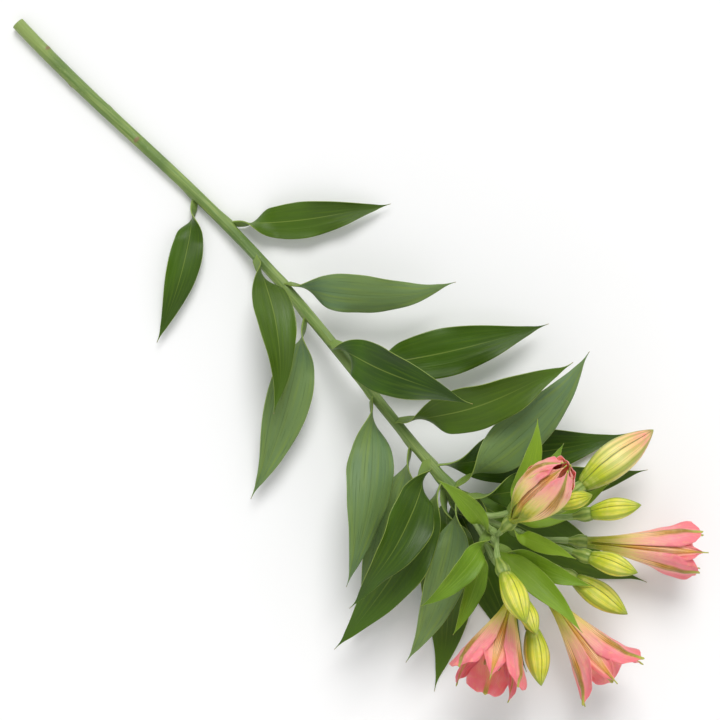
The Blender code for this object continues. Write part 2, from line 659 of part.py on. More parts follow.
# Bracts, the small leaves at the forks: ray, then the blade, whose place along is measured on the
# stalk from the swelling to the fork
BRACTS = {
    "bract_a1": ("a", Blade(16 * MM, 0, 10, -10, 24, -18, 62 * MM, 14 * MM, -8, 0.25, 0.12)),
    "bract_a2": ("a", Blade(15 * MM, 200, -52, -20, 10, -20, 46 * MM, 12 * MM, -15, 0.25, 0.12)),
    "bract_b1": ("b", Blade(20 * MM, 60, 18, 12, 28, -36, 50 * MM, 13 * MM, 10, 0.25, 0.12)),
    "bract_c1": ("c", Blade(17 * MM, 330, 60, 14, 0, -10, 54 * MM, 14 * MM, 6, 0.2, 0.10)),
    "bract_c2": ("c", Blade(19 * MM, 120, 24, 6, 36, -30, 36 * MM, 10 * MM, 10, 0.25, 0.10)),
    "bract_d1": ("d", Blade(16 * MM, 60, 108, 24, 34, -50, 50 * MM, 13 * MM, 15, 0.22, 0.12)),
    "bract_d2": ("d", Blade(18 * MM, -40, 92, 14, 2, -12, 40 * MM, 11 * MM, 0, 0.22, 0.12)),
    "bract_e1": ("e", Blade(14 * MM, 200, -70, -30, 34, -60, 52 * MM, 14 * MM, -15, 0.22, 0.12)),
    "bract_e2": ("e", Blade(16 * MM, 130, 170, 20, 46, -50, 40 * MM, 11 * MM, 0, 0.25, 0.12)),
}


def make_bracts():
    for name, (ray_name, bract) in BRACTS.items():
        points = stalk_points(RAYS[ray_name], 60)
        walked = np.concatenate([[0], np.cumsum(np.linalg.norm(np.diff(points, axis=0), axis=1))])
        place = int(np.argmin(np.abs(walked - bract.along)))
        low, high = max(place - 1, 0), min(place + 1, len(points) - 1)
        tangent = unit(points[high] - points[low])
        make_blade(name, bract, points[place], tangent, STALK_RADIUS, BRACT_GRID, bract_green)


def make_florets():
    for ray_name, ray in RAYS.items():
        make_ray("ray_" + ray_name, ray)
        for number, floret in ray.florets.items():
            key = ray_name + number
            if key in BUDS:
                make_bud("bud_" + key, floret, *BUDS[key])
            else:
                make_bloom("bloom_" + key, floret, BLOOMS[key])
            if key in STAMENS_IN:
                make_stamens("stamens_" + key, floret, BLOOMS[key])


def centre_on_floor():
    """Moves everything so that the middle of the plant's box is over the origin, and it is on Z = 0."""
    bpy.context.view_layer.update()
    depsgraph = bpy.context.evaluated_depsgraph_get()
    corners = []
    for thing in plant.objects:
        if thing.type == "MESH":
            solid = thing.evaluated_get(depsgraph)
            corners += [solid.matrix_world @ vertex.co for vertex in solid.data.vertices]
    low = Vector([min(corner[i] for corner in corners) for i in range(3)])
    high = Vector([max(corner[i] for corner in corners) for i in range(3)])
    middle = (low + high) / 2
    origin.location = (-middle.x, -middle.y, -low.z)


for left_over in list(bpy.data.objects):
    bpy.data.objects.remove(left_over)

plant = bpy.data.collections.new("alstroemeria_stem")
bpy.context.scene.collection.children.link(plant)
origin = bpy.data.objects.new("plant_origin", None)
plant.objects.link(origin)

stem_green = new_material("stem_green", STEM_GREEN)
leaf_green = new_material("leaf_green", LEAF_GREEN)
bract_green = new_material("bract_green", BRACT_GREEN)
stalk_green = new_material("stalk_green", STALK_GREEN)
bud_yellow = new_material("bud_yellow", BUD_YELLOW)
bloom_pink = new_material("bloom_pink", BLOOM_PINK)
stamen_rose = new_material("stamen_rose", STAMEN_ROSE)

make_main_stem()
make_leaves()
make_florets()
make_bracts()
centre_on_floor()
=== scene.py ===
"""A cut alstroemeria stem laid on a white table: its looks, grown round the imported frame.

The stem lies along +X with its cut end at -X, and +Z is up. The sections follow the plant from the
cut end to the flowers: stem, leaves, flower stalks, ovaries, bracts, buds, blooms and stamens. The
table, the light and the camera come last. Shapes are worked out in millimetres from the cut end,
and skin() sets them in the frame, in metres.
"""
from collections import namedtuple

import bpy
import numpy as np
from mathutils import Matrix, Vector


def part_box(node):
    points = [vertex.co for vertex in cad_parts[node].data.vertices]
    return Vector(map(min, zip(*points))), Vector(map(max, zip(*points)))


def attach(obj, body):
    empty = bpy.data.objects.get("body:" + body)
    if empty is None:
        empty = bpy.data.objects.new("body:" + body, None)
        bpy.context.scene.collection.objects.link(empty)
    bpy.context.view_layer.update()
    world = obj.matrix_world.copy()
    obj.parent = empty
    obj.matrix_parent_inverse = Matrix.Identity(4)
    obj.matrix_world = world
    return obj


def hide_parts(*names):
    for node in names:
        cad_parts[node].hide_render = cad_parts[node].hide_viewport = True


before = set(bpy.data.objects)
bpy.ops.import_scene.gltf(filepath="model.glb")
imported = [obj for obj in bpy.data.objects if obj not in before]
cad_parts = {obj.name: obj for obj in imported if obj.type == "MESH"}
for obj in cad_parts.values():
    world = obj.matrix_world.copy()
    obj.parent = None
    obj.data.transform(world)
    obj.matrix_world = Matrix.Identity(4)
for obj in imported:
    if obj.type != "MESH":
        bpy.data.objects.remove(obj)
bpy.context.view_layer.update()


# Main stem
# A round, firm green stalk, cut square by the florist and stripped of its lower leaves, which have
# left scars. It swells at the top, where the flower stalks grow out of it.

MM = 0.001
TAU = 2 * np.pi
STEM_LENGTH = 335
CUT_RADIUS = 3.2
TOP_RADIUS = 2.5
SWELLING_RADIUS = 4.6
SWELLING_START = STEM_LENGTH - 9
SWELLING_FULL = SWELLING_START + 6.3
TOP_ROUNDING = 1.5
TOP_DRAWN_IN = 0.45
RISE_START = 120
HEAD_RISE = 30
SWAY = 8
CUT_DOME = 0.35
# Low ridges run along the stem, and their wave drifts round it a radian in RIDGE_DRIFT millimetres
RIDGES = 6
RIDGE_HEIGHT = 0.05
RIDGE_DRIFT = 40
# Where each scar is along the stem, in millimetres, and round it, in degrees
SCAR_PLACES = ((20, 40), (41, 190), (63, 320), (84, 95), (104, 235))
SCAR_HEIGHT = 0.45
LEAF_BASE_HEIGHT = 0.9
# How a scar and a leaf's base fade behind and ahead, in millimetres, and round the stem, in radians
SCAR_FADES = (1.6, 1.0, 0.75)
LEAF_BASE_FADES = (7.0, 1.5, 0.42)
STEM_SIDES = 48
STEM_RINGS = 330
TOP_RINGS = 25
CUT_RINGS = 10

RIND_DEEP = (0.075, 0.150, 0.022, 1)
RIND_GREEN = (0.125, 0.220, 0.035, 1)
RIND_PALE = (0.260, 0.350, 0.085, 1)
RIND_SCAR = (0.210, 0.165, 0.060, 1)
FLESH_PALE = (0.560, 0.620, 0.360, 1)
FLESH_GREEN = (0.270, 0.380, 0.120, 1)


def between(first, second, share):
    """first where share is 0, second where it is 1, and a straight line between them."""
    return first + (second - first) * share


def smoothstep(value, low, high):
    """0 at low and 1 at high, with 3t^2 - 2t^3 between them and level beyond; low may be the larger."""
    t = np.clip((value - low) / (high - low), 0, 1)
    return t * t * (3 - 2 * t)


def hump(off, reach):
    """1 where off is 0, fading both ways as e to the power -(off / reach)^2."""
    return np.exp(-(off / reach) ** 2)


def in_rows(first, last, count):
    """Even places along a piece, one for each row of its grid."""
    return np.linspace(first, last, count)[:, None]


def in_columns(first, last, count):
    """Even places across a piece, one for each column of its grid."""
    return np.linspace(first, last, count)[None, :]


def ring_turns(sides):
    """The angle of each place round a ring."""
    return np.linspace(0, TAU, sides, endpoint=False)[None, :]


def unit(vectors):
    """The vectors, each divided by its length."""
    return vectors / np.linalg.norm(vectors, axis=-1, keepdims=True)


def level_frame(tangents):
    """The left and the up of each step along a path: left is level, and up is square to both."""
    left = unit(np.cross((0, 0, 1), tangents))
    return left, np.cross(tangents, left)


def stem_taper(x):
    """A straight taper from the cut to the top."""
    return between(CUT_RADIUS, TOP_RADIUS, x / STEM_LENGTH)


def stem_radius(x):
    """The taper, plus a smooth step up at the swelling."""
    return stem_taper(x) + (SWELLING_RADIUS - TOP_RADIUS) * smoothstep(x, SWELLING_START, SWELLING_FULL)


def stem_axis(x):
    """The stem's axis: a sine squared bow to the side, and a smooth step up from the table."""
    bow = SWAY * np.sin(np.pi * x / STEM_LENGTH) ** 2
    height = stem_taper(x) + HEAD_RISE * smoothstep(x, RISE_START, STEM_LENGTH)
    return np.stack([x, bow, height], axis=-1)


def tube(path, radii, sides):
    """Rings round a path: each point is the path's, plus radius times cos a left + sin a up."""
    left, up = level_frame(unit(np.gradient(path, axis=0)))
    turn = ring_turns(sides)[..., None]
    spoke = np.cos(turn) * left[:, None] + np.sin(turn) * up[:, None]
    return path[:, None] + np.reshape(radii, (len(path), -1, 1)) * spoke


def cad_shift():
    """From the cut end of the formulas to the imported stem: its low x, its middle y and its low z."""
    low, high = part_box("main_stem")
    x = np.linspace(0, SWELLING_START, 400)
    side = stem_axis(x)[:, 1]
    middle = ((side + stem_radius(x)).max() + (side - stem_radius(x)).min()) / 2
    return np.array([low.x / MM, (low.y + high.y) / 2 / MM - middle, low.z / MM])


STEM_SHIFT = cad_shift()

# One closed body of a skin. rings is (ring, place round it, xyz), with the rings anticlockwise
# about the way they follow each other. across and along are the pattern's coordinates, with one
# place more round each ring. worn is the material slot of each face, and mark a value of each point.
Shell = namedtuple("Shell", "rings across along worn mark", defaults=(0, 0.0))


def skin(name, shells, materials):
    """An object of closed bodies: quads from ring to ring, and strips across the ring at each end.

    A strip joins a ring's places to those as far back from its last place, which closes the edge
    of a thin sheet as well as the end of a stalk.
    """
    points, faces, pattern, slots, marks = [], [], [], [], []
    count = 0
    for body in shells:
        rows, around = body.rings.shape[:2]
        points.append(body.rings.reshape(-1, 3))
        here = count + np.arange(rows * around).reshape(rows, around)
        beside = np.roll(here, -1, axis=1)
        place = np.arange(around // 2 - 1)
        strip = np.stack([place, place + 1, around - 2 - place, around - 1 - place], axis=-1)
        faces += np.stack([here[:-1], beside[:-1], beside[1:], here[1:]], axis=-1).reshape(-1, 4).tolist()
        faces += here[0, strip[:, ::-1]].tolist()
        faces += here[-1, strip].tolist()
        flat = np.zeros((rows, around + 1, 2))
        flat[..., 0] = body.across
        flat[..., 1] = body.along
        quads = np.stack([flat[:-1, :-1], flat[:-1, 1:], flat[1:, 1:], flat[1:, :-1]], axis=2)
        ends = np.stack([flat[0, strip[:, ::-1]], flat[-1, strip]])
        pattern += [quads.reshape(-1, 2), ends.reshape(-1, 2)]
        worn = np.broadcast_to(body.worn, (rows - 1, around))
        slots += [worn.reshape(-1), worn[0, place], worn[-1, place]]
        marks.append(np.broadcast_to(body.mark, (rows, around)).reshape(-1))
        count += rows * around
    mesh = bpy.data.meshes.new(name)
    mesh.from_pydata(((np.concatenate(points) + STEM_SHIFT) * MM).tolist(), [], faces)
    mesh.uv_layers.new(name="pattern").data.foreach_set("uv", np.concatenate(pattern).ravel())
    mesh.attributes.new("mark", "FLOAT", "POINT").data.foreach_set("value", np.concatenate(marks))
    mesh.polygons.foreach_set("material_index", np.concatenate(slots).astype(np.int32))
    for material in materials:
        mesh.materials.append(material)
    mesh.shade_smooth()
    mesh.update()
    piece = bpy.data.objects.new(name, mesh)
    bpy.context.scene.collection.objects.link(piece)
    return piece


class Paint:
    """A Principled material and the colour it has so far. Most calls add a node and give its output."""

    def __init__(self, name, fixed):
        self.material = bpy.data.materials.new(name)
        self.material.use_nodes = True
        self.tree = self.material.node_tree
        self.shader = self.tree.nodes["Principled BSDF"]
        self.colour = None
        for socket, value in fixed.items():
            self.shader.inputs[socket].default_value = value

    def add(self, kind, settings, inputs, output=0):
        """A node with its settings, and with numbers, colours or other outputs on its inputs."""
        node = self.tree.nodes.new("ShaderNode" + kind)
        for setting, value in settings.items():
            setattr(node, setting, value)
        for socket, value in inputs.items():
            if isinstance(value, bpy.types.NodeSocket):
                self.tree.links.new(value, node.inputs[socket])
            else:
                node.inputs[socket].default_value = value
        return node.outputs[output]

    def pattern(self):
        """Across and along, from the piece's UV map."""
        place = self.add("UVMap", {"uv_map": "pattern"}, {})
        return [self.add("SeparateXYZ", {}, {0: place}, output) for output in (0, 1)]

    def mark(self):
        """The value that each point carries."""
        return self.add("Attribute", {"attribute_name": "mark"}, {}, "Fac")

    def work(self, operation, first, second=0.0, third=0.0):
        """Numbers put together by a Math operation."""
        return self.add("Math", {"operation": operation}, {0: first, 1: second, 2: third})

    def times(self, first, second):
        """The product: where both are from 0 to 1, the share that both give."""
        return self.work("MULTIPLY", first, second)

    def between(self, first, second, share):
        """first where share is 0, and second where it is 1."""
        return self.work("MULTIPLY_ADD", share, second - first, first)

    def rise(self, value, low, high):
        """0 at low and 1 at high, with a smooth step between them; low may be the larger."""
        inputs = {"Value": value, "From Min": low, "From Max": high}
        return self.add("MapRange", {"interpolation_type": "SMOOTHSTEP"}, inputs)

    def cloud(self, scale, detail=2.0):
        """Soft noise through the piece, with blotches of about 1 / scale metres."""
        place = self.add("TexCoord", {}, {}, "Object")
        return self.add("TexNoise", {}, {"Vector": place, "Scale": scale, "Detail": detail})

    def streaks(self, across, along, fine, long):
        """Noise drawn out along the piece: fine streaks across it, each about 1 / long of its length."""
        place = self.add("CombineXYZ", {}, {0: self.times(across, fine), 1: self.times(along, long)})
        return self.add("TexNoise", {}, {"Vector": place, "Scale": 1.0, "Detail": 3.0})

    def stray(self, value, noise, reach):
        """A value moved to and fro by noise, by up to half of reach."""
        return self.work("MULTIPLY_ADD", self.work("SUBTRACT", noise, 0.5), reach, value)

    def wander(self, across, along, reach):
        """Across, strayed along the piece so that lines aren't ruled."""
        return self.stray(across, self.streaks(across, along, 1.5, 4), reach)

    def lines(self, across, spacing, width):
        """1 on thin lines at every spacing across, fading to 0 at width from each."""
        off_line = self.work("PINGPONG", across, spacing / 2)
        return self.rise(off_line, width, 0.0)

    def blend(self, share, first, second):
        """The first colour, turning into the second as share goes from 0 to 1."""
        inputs = {"Factor": share, 6: first, 7: second}
        return self.add("Mix", {"data_type": "RGBA"}, inputs, 2)

    def ramp(self, value, stops):
        """Colours set at places along a value, blended between them."""
        node = self.add("ValToRGB", {}, {0: value}).node
        for element, (place, colour) in zip(node.color_ramp.elements, (stops[0], stops[-1])):
            element.position = place
            element.color = colour
        for place, colour in stops[1:-1]:
            node.color_ramp.elements.new(place).color = colour
        return node.outputs[0]

    def over(self, tint, cover, most=None):
        """Lays a tint over the colour so far, as cover goes from 0 to 1, held down to most."""
        self.colour = self.blend(self.times(cover, most) if most else cover, self.colour, tint)

    def finish(self, height=None, depth=0.0001, roughness=None):
        """Puts the colour, a bump of that depth in metres and the roughness on the shader."""
        self.tree.links.new(self.colour, self.shader.inputs["Base Color"])
        if roughness:
            self.tree.links.new(roughness, self.shader.inputs["Roughness"])
        if height:
            bump = self.add("Bump", {}, {"Height": height, "Distance": depth, "Strength": 1.0})
            self.tree.links.new(bump, self.shader.inputs["Normal"])
        return self.material


def rind_material():
    """Green in long streaks and soft blotches, with brown scars and a paler, drier cut end."""
    paint = Paint("stem_rind", {"Specular IOR Level": 0.5})
    across, along = paint.pattern()
    streak = paint.streaks(across, along, 24, 14)
    paint.colour = paint.blend(paint.rise(streak, 0.35, 0.7), RIND_GREEN, RIND_PALE)
    paint.over(RIND_DEEP, paint.rise(paint.cloud(38), 0.42, 0.68), 0.75)
    paint.over(RIND_PALE, paint.rise(along, 0.12, 0.0), 0.8)
    paint.over(RIND_PALE, paint.rise(paint.cloud(900, 1.0), 0.66, 0.74), 0.5)
    paint.over(RIND_SCAR, paint.rise(paint.mark(), 0.35, 0.7))
    return paint.finish(paint.streaks(across, along, 60, 8), 0.0003, paint.between(0.32, 0.52, streak))


def flesh_material():
    """The cut: pale, wet pith with darker bundles in a ring under the rind."""
    paint = Paint("stem_flesh", {"Roughness": 0.35})
    speckle = paint.cloud(2600, 1.0)
    near_rind = paint.rise(paint.mark(), 0.4, 0.8)
    paint.colour = paint.blend(paint.times(paint.rise(speckle, 0.5, 0.7), near_rind), FLESH_PALE, FLESH_GREEN)
    return paint.finish(speckle, 0.0002)


# Where each leaf grows from the stem: its blade's values are explained in the leaves' section
Blade = namedtuple("Blade", "along around heading swing rise droop length width bank fold wave")
LEAVES = {
    "leaf_01": Blade(126, 205, -48, -20, 12, -22, 74, 18, -10, 0.2, 0.10),
    "leaf_02": Blade(148, -20, 46, 18, 12, -26, 80, 20, 12, 0.2, 0.12),
    "leaf_03": Blade(169, 120, -16, -34, 42, -66, 86, 21, -20, 0.25, 0.14),
    "leaf_04": Blade(189, 35, 30, 30, 30, -52, 88, 22, 20, -0.15, 0.15),
    "leaf_05": Blade(208, 195, -52, -14, 4, -16, 94, 24, -6, 0.18, 0.12),
    "leaf_06": Blade(226, 80, 12, 24, 54, -60, 88, 24, 14, 0.22, 0.14),
    "leaf_07": Blade(243, -10, 54, 12, 0, -14, 98, 26, 6, 0.15, 0.10),
    "leaf_08": Blade(260, 150, -38, -24, 30, -46, 96, 25, -18, -0.18, 0.15),
    "leaf_09": Blade(276, 50, 50, 34, 36, -62, 96, 26, 22, 0.2, 0.15),
    "leaf_10": Blade(290, 200, -50, -18, -8, -8, 102, 28, -5, 0.15, 0.10),
    "leaf_11": Blade(300, 105, -52, -40, 48, -74, 90, 25, -25, 0.22, 0.14),
    "leaf_12": Blade(305, -22, 51, 8, -26, 22, 102, 28, 5, 0.14, 0.08),
    "leaf_13": Blade(313, 170, -66, -20, 14, -34, 98, 27, -14, 0.2, 0.14),
    "leaf_14": Blade(318, 15, 80, 22, 10, -26, 94, 26, 14, -0.16, 0.15),
    "leaf_15": Blade(314, 238, -36, -14, -27, 22, 112, 30, 0, 0.12, 0.06),
    "leaf_16": Blade(322, 298, 16, 6, -27, 24, 112, 31, 0, 0.12, 0.06),
    "leaf_17": Blade(316, 262, -18, -4, -38, 44, 112, 26, 0, 0.12, 0.06),
    "leaf_18": Blade(325, 190, -46, -28, 2, -14, 84, 22, -10, 0.2, 0.12),
    "leaf_19": Blade(326, 12, 52, 4, -15, 6, 94, 23, 8, 0.2, 0.12),
}


def raised_spot(x, turn, place, around, behind, ahead, spread):
    """A smooth swelling on the stem, 1 at its place, that fades behind, ahead and to the sides."""
    off = np.angle(np.exp(1j * (turn - np.radians(around))))
    return hump(x - place, np.where(x < place, behind, ahead)) * hump(off, spread)


x = np.concatenate([np.linspace(0, SWELLING_START, STEM_RINGS),
                    np.linspace(SWELLING_START, STEM_LENGTH, TOP_RINGS + 1)[1:]])
grid_x, turn = x[:, None], ring_turns(STEM_SIDES)
scars = sum(raised_spot(grid_x, turn, place, around, *SCAR_FADES) for place, around in SCAR_PLACES)
bases = sum(raised_spot(grid_x, turn, leaf.along - 1, leaf.around, *LEAF_BASE_FADES)
            for leaf in LEAVES.values())
rounded_top = np.sqrt(1 - TOP_DRAWN_IN * smoothstep(x, STEM_LENGTH - TOP_ROUNDING, STEM_LENGTH))
radii = (stem_radius(x) * rounded_top)[:, None] + SCAR_HEIGHT * scars + LEAF_BASE_HEIGHT * bases
radii = radii + RIDGE_HEIGHT * np.cos(RIDGES * turn + grid_x / RIDGE_DRIFT)
side_rings = tube(stem_axis(x), radii, STEM_SIDES)
side_rings[..., 2] = np.maximum(side_rings[..., 2], 0)
out_from_middle = in_rows(0.02, 0.97, CUT_RINGS)
cut_middle = stem_axis(x[0])
cut_rings = cut_middle + out_from_middle[:, None] * (side_rings[:1] - cut_middle)
cut_rings[..., 0] += CUT_DOME * (1 - out_from_middle ** 2)
rings = np.concatenate([cut_rings, side_rings])
main_stem = skin("main_stem_stalk", [Shell(
    rings,
    across=in_columns(0, 1, STEM_SIDES + 1),
    along=np.concatenate([np.zeros(CUT_RINGS), x / STEM_LENGTH])[:, None],
    worn=(np.arange(len(rings) - 1) < CUT_RINGS)[:, None],
    mark=np.concatenate([np.broadcast_to(out_from_middle, (CUT_RINGS, STEM_SIDES)), scars]),
)], [rind_material(), flesh_material()])
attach(main_stem, "root")
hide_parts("main_stem")


# Leaves
# Thin lance-shaped blades, pleated by their parallel veins. Each sits on the stem by a narrow base
# that turns over, so that one face is glossy and the other, which often shows, is a matt grey-green.

# A blade starts at a place along and around what carries it, and sets out on a heading and a rise
# in degrees. By its tip these have changed by swing and droop. Bank tips it about its midrib, fold
# lifts its edges as a share of its half width, and wave ripples them.
SEAT_GAP = 0.3
BLADE_THICKNESS = 0.62
FLOOR = 0.05 + BLADE_THICKNESS / 2
FLOOR_SOFTNESS = 0.8
LEAST_HEIGHT = 0.02
DROOP_POWER = 1.3
TWIST_SHARE = 0.28
PETIOLE_HALF_WIDTH = 2.1
TIP_HALF_WIDTH = 0.35
WIDEST_BASE_POWER = 1.4
WIDEST_TIP_POWER = 1.8
WIDEST_AT = WIDEST_BASE_POWER / (WIDEST_BASE_POWER + WIDEST_TIP_POWER)
POINT_FROM = 0.88
POINT_NARROWING = 0.7
# The relief is in shares of the half width, and the waves, ruffles and swells are counted along it
WAVES = 1.7
WAVE_SHIFT = 1.1
RUFFLE_HEIGHT = 0.055
RUFFLES = 4.3
SWELL_HEIGHT = 0.045
SWELLS = 1.4
SWELL_DRIFT = 2.2
PLEAT_DEPTH = 0.005
PLEATS_ACROSS = 2.6
PLEAT_SWAY = 0.3
TIP_BEND = 0.034
TIP_BEND_FROM = 0.66
FOOT_HALF_THICKNESS = 0.56
SHEET_HALF_THICKNESS = 0.22
FOOT_SHARE = 0.25
MARGIN_THINNING = 0.55
MIDRIB_HEIGHT = 0.16
MIDRIB_WIDTH = 0.08
MIDRIB_FULL_HALF_WIDTH = 5
ROOT_BACK = 2.2
ROOT_IN = 1.3
ROOT_SHARES = (1, 0.45)
BASE_CROWDING = 1.3
MIDRIB_STEPS = 160
LEAF_ROWS = 92
LEAF_COLUMNS = 37
MATT_FACE_UP = ("leaf_04", "leaf_05", "leaf_08", "leaf_10", "leaf_14", "leaf_18")

GLOSS_DARK = (0.014, 0.044, 0.001, 1)
GLOSS_MID = (0.038, 0.104, 0.001, 1)
GLOSS_BRIGHT = (0.118, 0.208, 0.004, 1)
MATT_BLUE = (0.110, 0.195, 0.085, 1)
MATT_MID = (0.140, 0.225, 0.070, 1)
MATT_YELLOW = (0.190, 0.275, 0.045, 1)
MATT_LINE = (0.050, 0.090, 0.020, 1)
MARGIN_PALE = (0.340, 0.430, 0.080, 1)
LEAF_STALK = (0.210, 0.310, 0.060, 1)
TIP_DRY = (0.330, 0.260, 0.080, 1)


def heading_vector(heading, rise):
    """Unit vector for a plan heading from +X towards +Y and a rise over the table, in degrees."""
    turn, lift = np.radians(heading), np.radians(rise)
    return np.stack([np.cos(lift) * np.cos(turn), np.cos(lift) * np.sin(turn), np.sin(lift)], axis=-1)


def carried(places, steps, values):
    """Vectors known at steps, read at the places by straight lines between them."""
    return np.stack([np.interp(places, steps, values[:, axis]) for axis in range(3)], axis=-1)


def two_faced(middle, first_lift, second_lift):
    """Rings round a thin sheet: its first face across, then its second face back again.

    The faces are the middle surface moved by their lifts along and against across x along.
    """
    normal = unit(np.cross(np.gradient(middle, axis=1), np.gradient(middle, axis=0)))
    first = middle + first_lift[..., None] * normal
    second = middle - second_lift[..., None] * normal
    return np.concatenate([first, second[:, ::-1]], axis=1)


def over_and_back(v):
    """The pattern's places round a thin sheet: across its first face, back over its second."""
    return np.concatenate([v, v[:, ::-1], v[:, :1]], axis=1)


def midrib_path(blade, start, steps):
    """A midrib that swings and droops from start, and the way that it sets out.

    The table holds it up: its height over the floor is the softness times log(1 + e^(h / softness)).
    """
    rise = blade.rise + blade.droop * steps ** DROOP_POWER
    toward = heading_vector(blade.heading + blade.swing * steps, rise)
    walked = np.cumsum((toward[1:] + toward[:-1]) / 2, axis=0) * blade.length / (MIDRIB_STEPS - 1)
    midrib = start + np.concatenate([np.zeros((1, 3)), walked])
    midrib[:, 2] = FLOOR + FLOOR_SOFTNESS * np.logaddexp(0, (midrib[:, 2] - FLOOR) / FLOOR_SOFTNESS)
    return midrib, toward[0]


def turned_over(midrib, steps, radial, bank):
    """The across and the up of a blade at each step: flat on its stem, then rolled over to its bank."""
    side, face = level_frame(unit(np.gradient(midrib, axis=0)))
    lean = np.arctan2(-np.dot(radial, side[0]), np.dot(radial, face[0]))
    if abs(lean) < np.pi / 2:
        lean -= np.copysign(np.pi, lean)
    roll = between(lean, np.radians(bank), smoothstep(steps, 0, TWIST_SHARE))[:, None]
    return np.cos(roll) * side + np.sin(roll) * face, np.cos(roll) * face - np.sin(roll) * side


def blade_shell(blade, foot, foot_tangent, foot_radius, rows, columns, matt_up, tone):
    """A leaf: a midrib path, with a lance-shaped sheet across it.

    The half width is a stalk's plus a multiple of s^1.4 (1 - s)^1.8. The sheet is lifted by fold
    v^2, by waves and fine ruffles that grow as |v|^3 and |v|^5 and are sines along, by a broad
    swell, a sine that drifts across, and by pleats, a cosine across that sways along. The tip
    bends to one side. The underside comes first in each ring. matt_up puts the second material
    on the upper face, and tone, from 0 to 1, is the mark that every point carries.
    """
    left, up = level_frame(foot_tangent)
    around = np.radians(blade.around)
    radial = np.cos(around) * left + np.sin(around) * up
    steps = np.linspace(0, 1, MIDRIB_STEPS)
    start = foot + radial * (foot_radius + SEAT_GAP + BLADE_THICKNESS / 2)
    midrib, sets_out = midrib_path(blade, start, steps)
    across, normal = turned_over(midrib, steps, radial, blade.bank)

    s = in_rows(0, 1, rows) ** BASE_CROWDING
    v = in_columns(-1, 1, columns)
    highest = WIDEST_AT ** WIDEST_BASE_POWER * (1 - WIDEST_AT) ** WIDEST_TIP_POWER
    lance = s ** WIDEST_BASE_POWER * (1 - s) ** WIDEST_TIP_POWER / highest
    half = between(PETIOLE_HALF_WIDTH, TIP_HALF_WIDTH, s) + (blade.width / 2 - PETIOLE_HALF_WIDTH) * lance
    half = half * (1 - POINT_NARROWING * smoothstep(s, POINT_FROM, 1))
    own = 3 * around + blade.length
    fold = blade.fold * v * v
    wave = blade.wave * np.abs(v) ** 3 * np.sin(TAU * WAVES * s + WAVE_SHIFT * np.sign(v) + around)
    ruffle = RUFFLE_HEIGHT * np.abs(v) ** 5 * np.sin(TAU * RUFFLES * s + 2 * np.sign(v) + own)
    swell = SWELL_HEIGHT * np.sin(TAU * SWELLS * s + SWELL_DRIFT * v + own)
    pleat = PLEAT_DEPTH * (1.35 - s) * np.cos(TAU * (PLEATS_ACROSS * v + PLEAT_SWAY * np.sin(4 * s + own)))
    grown = smoothstep(s, TWIST_SHARE / 2, 1.5 * TWIST_SHARE)
    lift = half * grown * (fold + wave + ruffle + swell - pleat)
    tip_bend = TIP_BEND * blade.length * np.sin(own) * smoothstep(s, TIP_BEND_FROM, 1) ** 2
    middle = (carried(s, steps, midrib)
              + (half * v + tip_bend)[..., None] * carried(s, steps, across)
              + lift[..., None] * carried(s, steps, normal))
    middle[..., 2] = np.maximum(middle[..., 2], FLOOR)

    thickness = between(FOOT_HALF_THICKNESS, SHEET_HALF_THICKNESS, smoothstep(s, 0, FOOT_SHARE))
    thickness = thickness * (1 - MARGIN_THINNING * np.abs(v) ** 6)
    ridge = MIDRIB_HEIGHT * hump(v, MIDRIB_WIDTH) * (1 - s) * np.minimum(1, half / MIDRIB_FULL_HALF_WIDTH)
    rings = two_faced(middle, thickness + ridge, thickness - np.minimum(0.5 * ridge, 0.7 * thickness))
    # Two more rings run back into what carries the blade
    rooted = rings[:1] - np.reshape(ROOT_SHARES, (2, 1, 1)) * (ROOT_BACK * sets_out + ROOT_IN * radial)
    rings = np.concatenate([rooted, rings])
    rings[..., 2] = np.maximum(rings[..., 2], LEAST_HEIGHT)
    worn = np.repeat([0, 1] if matt_up else [1, 0], columns)[None, :]
    return Shell(rings, over_and_back(v), np.concatenate([np.zeros((2, 1)), s]), worn, tone)


def blade_paint(name, specular):
    """A blade's paint, its across and along, its distance from the midrib and where its veins run."""
    paint = Paint(name, {"Specular IOR Level": specular})
    across, along = paint.pattern()
    return paint, across, along, paint.work("ABSOLUTE", across), paint.wander(across, along, 0.05)


def paint_ends(paint, from_midrib, along, most):
    """A blade's thin pale margin, its lighter stalk and its dry tip."""
    paint.over(MARGIN_PALE, paint.rise(from_midrib, 0.975, 0.998), most)
    paint.over(LEAF_STALK, paint.rise(along, 0.16, 0.01), 0.8)
    paint.over(TIP_DRY, paint.rise(along, 0.98, 1.0))


def gloss_material(name, dark, mid, bright):
    """The glossy face: green in soft clouds and long streaks, faint pale veins and a thin margin."""
    paint, across, along, from_midrib, wandering = blade_paint(name, 0.3)
    streak = paint.streaks(across, along, 8, 2.5)
    paint.colour = paint.blend(paint.rise(paint.cloud(24), 0.32, 0.68), dark, mid)
    paint.over(bright, paint.mark(), 0.5)
    paint.over(bright, paint.rise(streak, 0.45, 0.8), 0.35)
    fading = paint.rise(paint.streaks(across, along, 3, 6), 0.35, 0.7)
    veins = paint.times(paint.lines(wandering, 0.23, 0.022), fading)
    paint.over(bright, veins, 0.2)
    midrib = paint.times(paint.rise(from_midrib, 0.035, 0.008), paint.rise(along, 0.95, 0.25))
    paint.over(MARGIN_PALE, midrib, 0.4)
    paint_ends(paint, from_midrib, along, 0.7)
    height = paint.work("ADD", paint.times(veins, 0.5), paint.streaks(across, along, 46, 5))
    return paint.finish(height, 0.0001, paint.between(0.3, 0.5, streak))


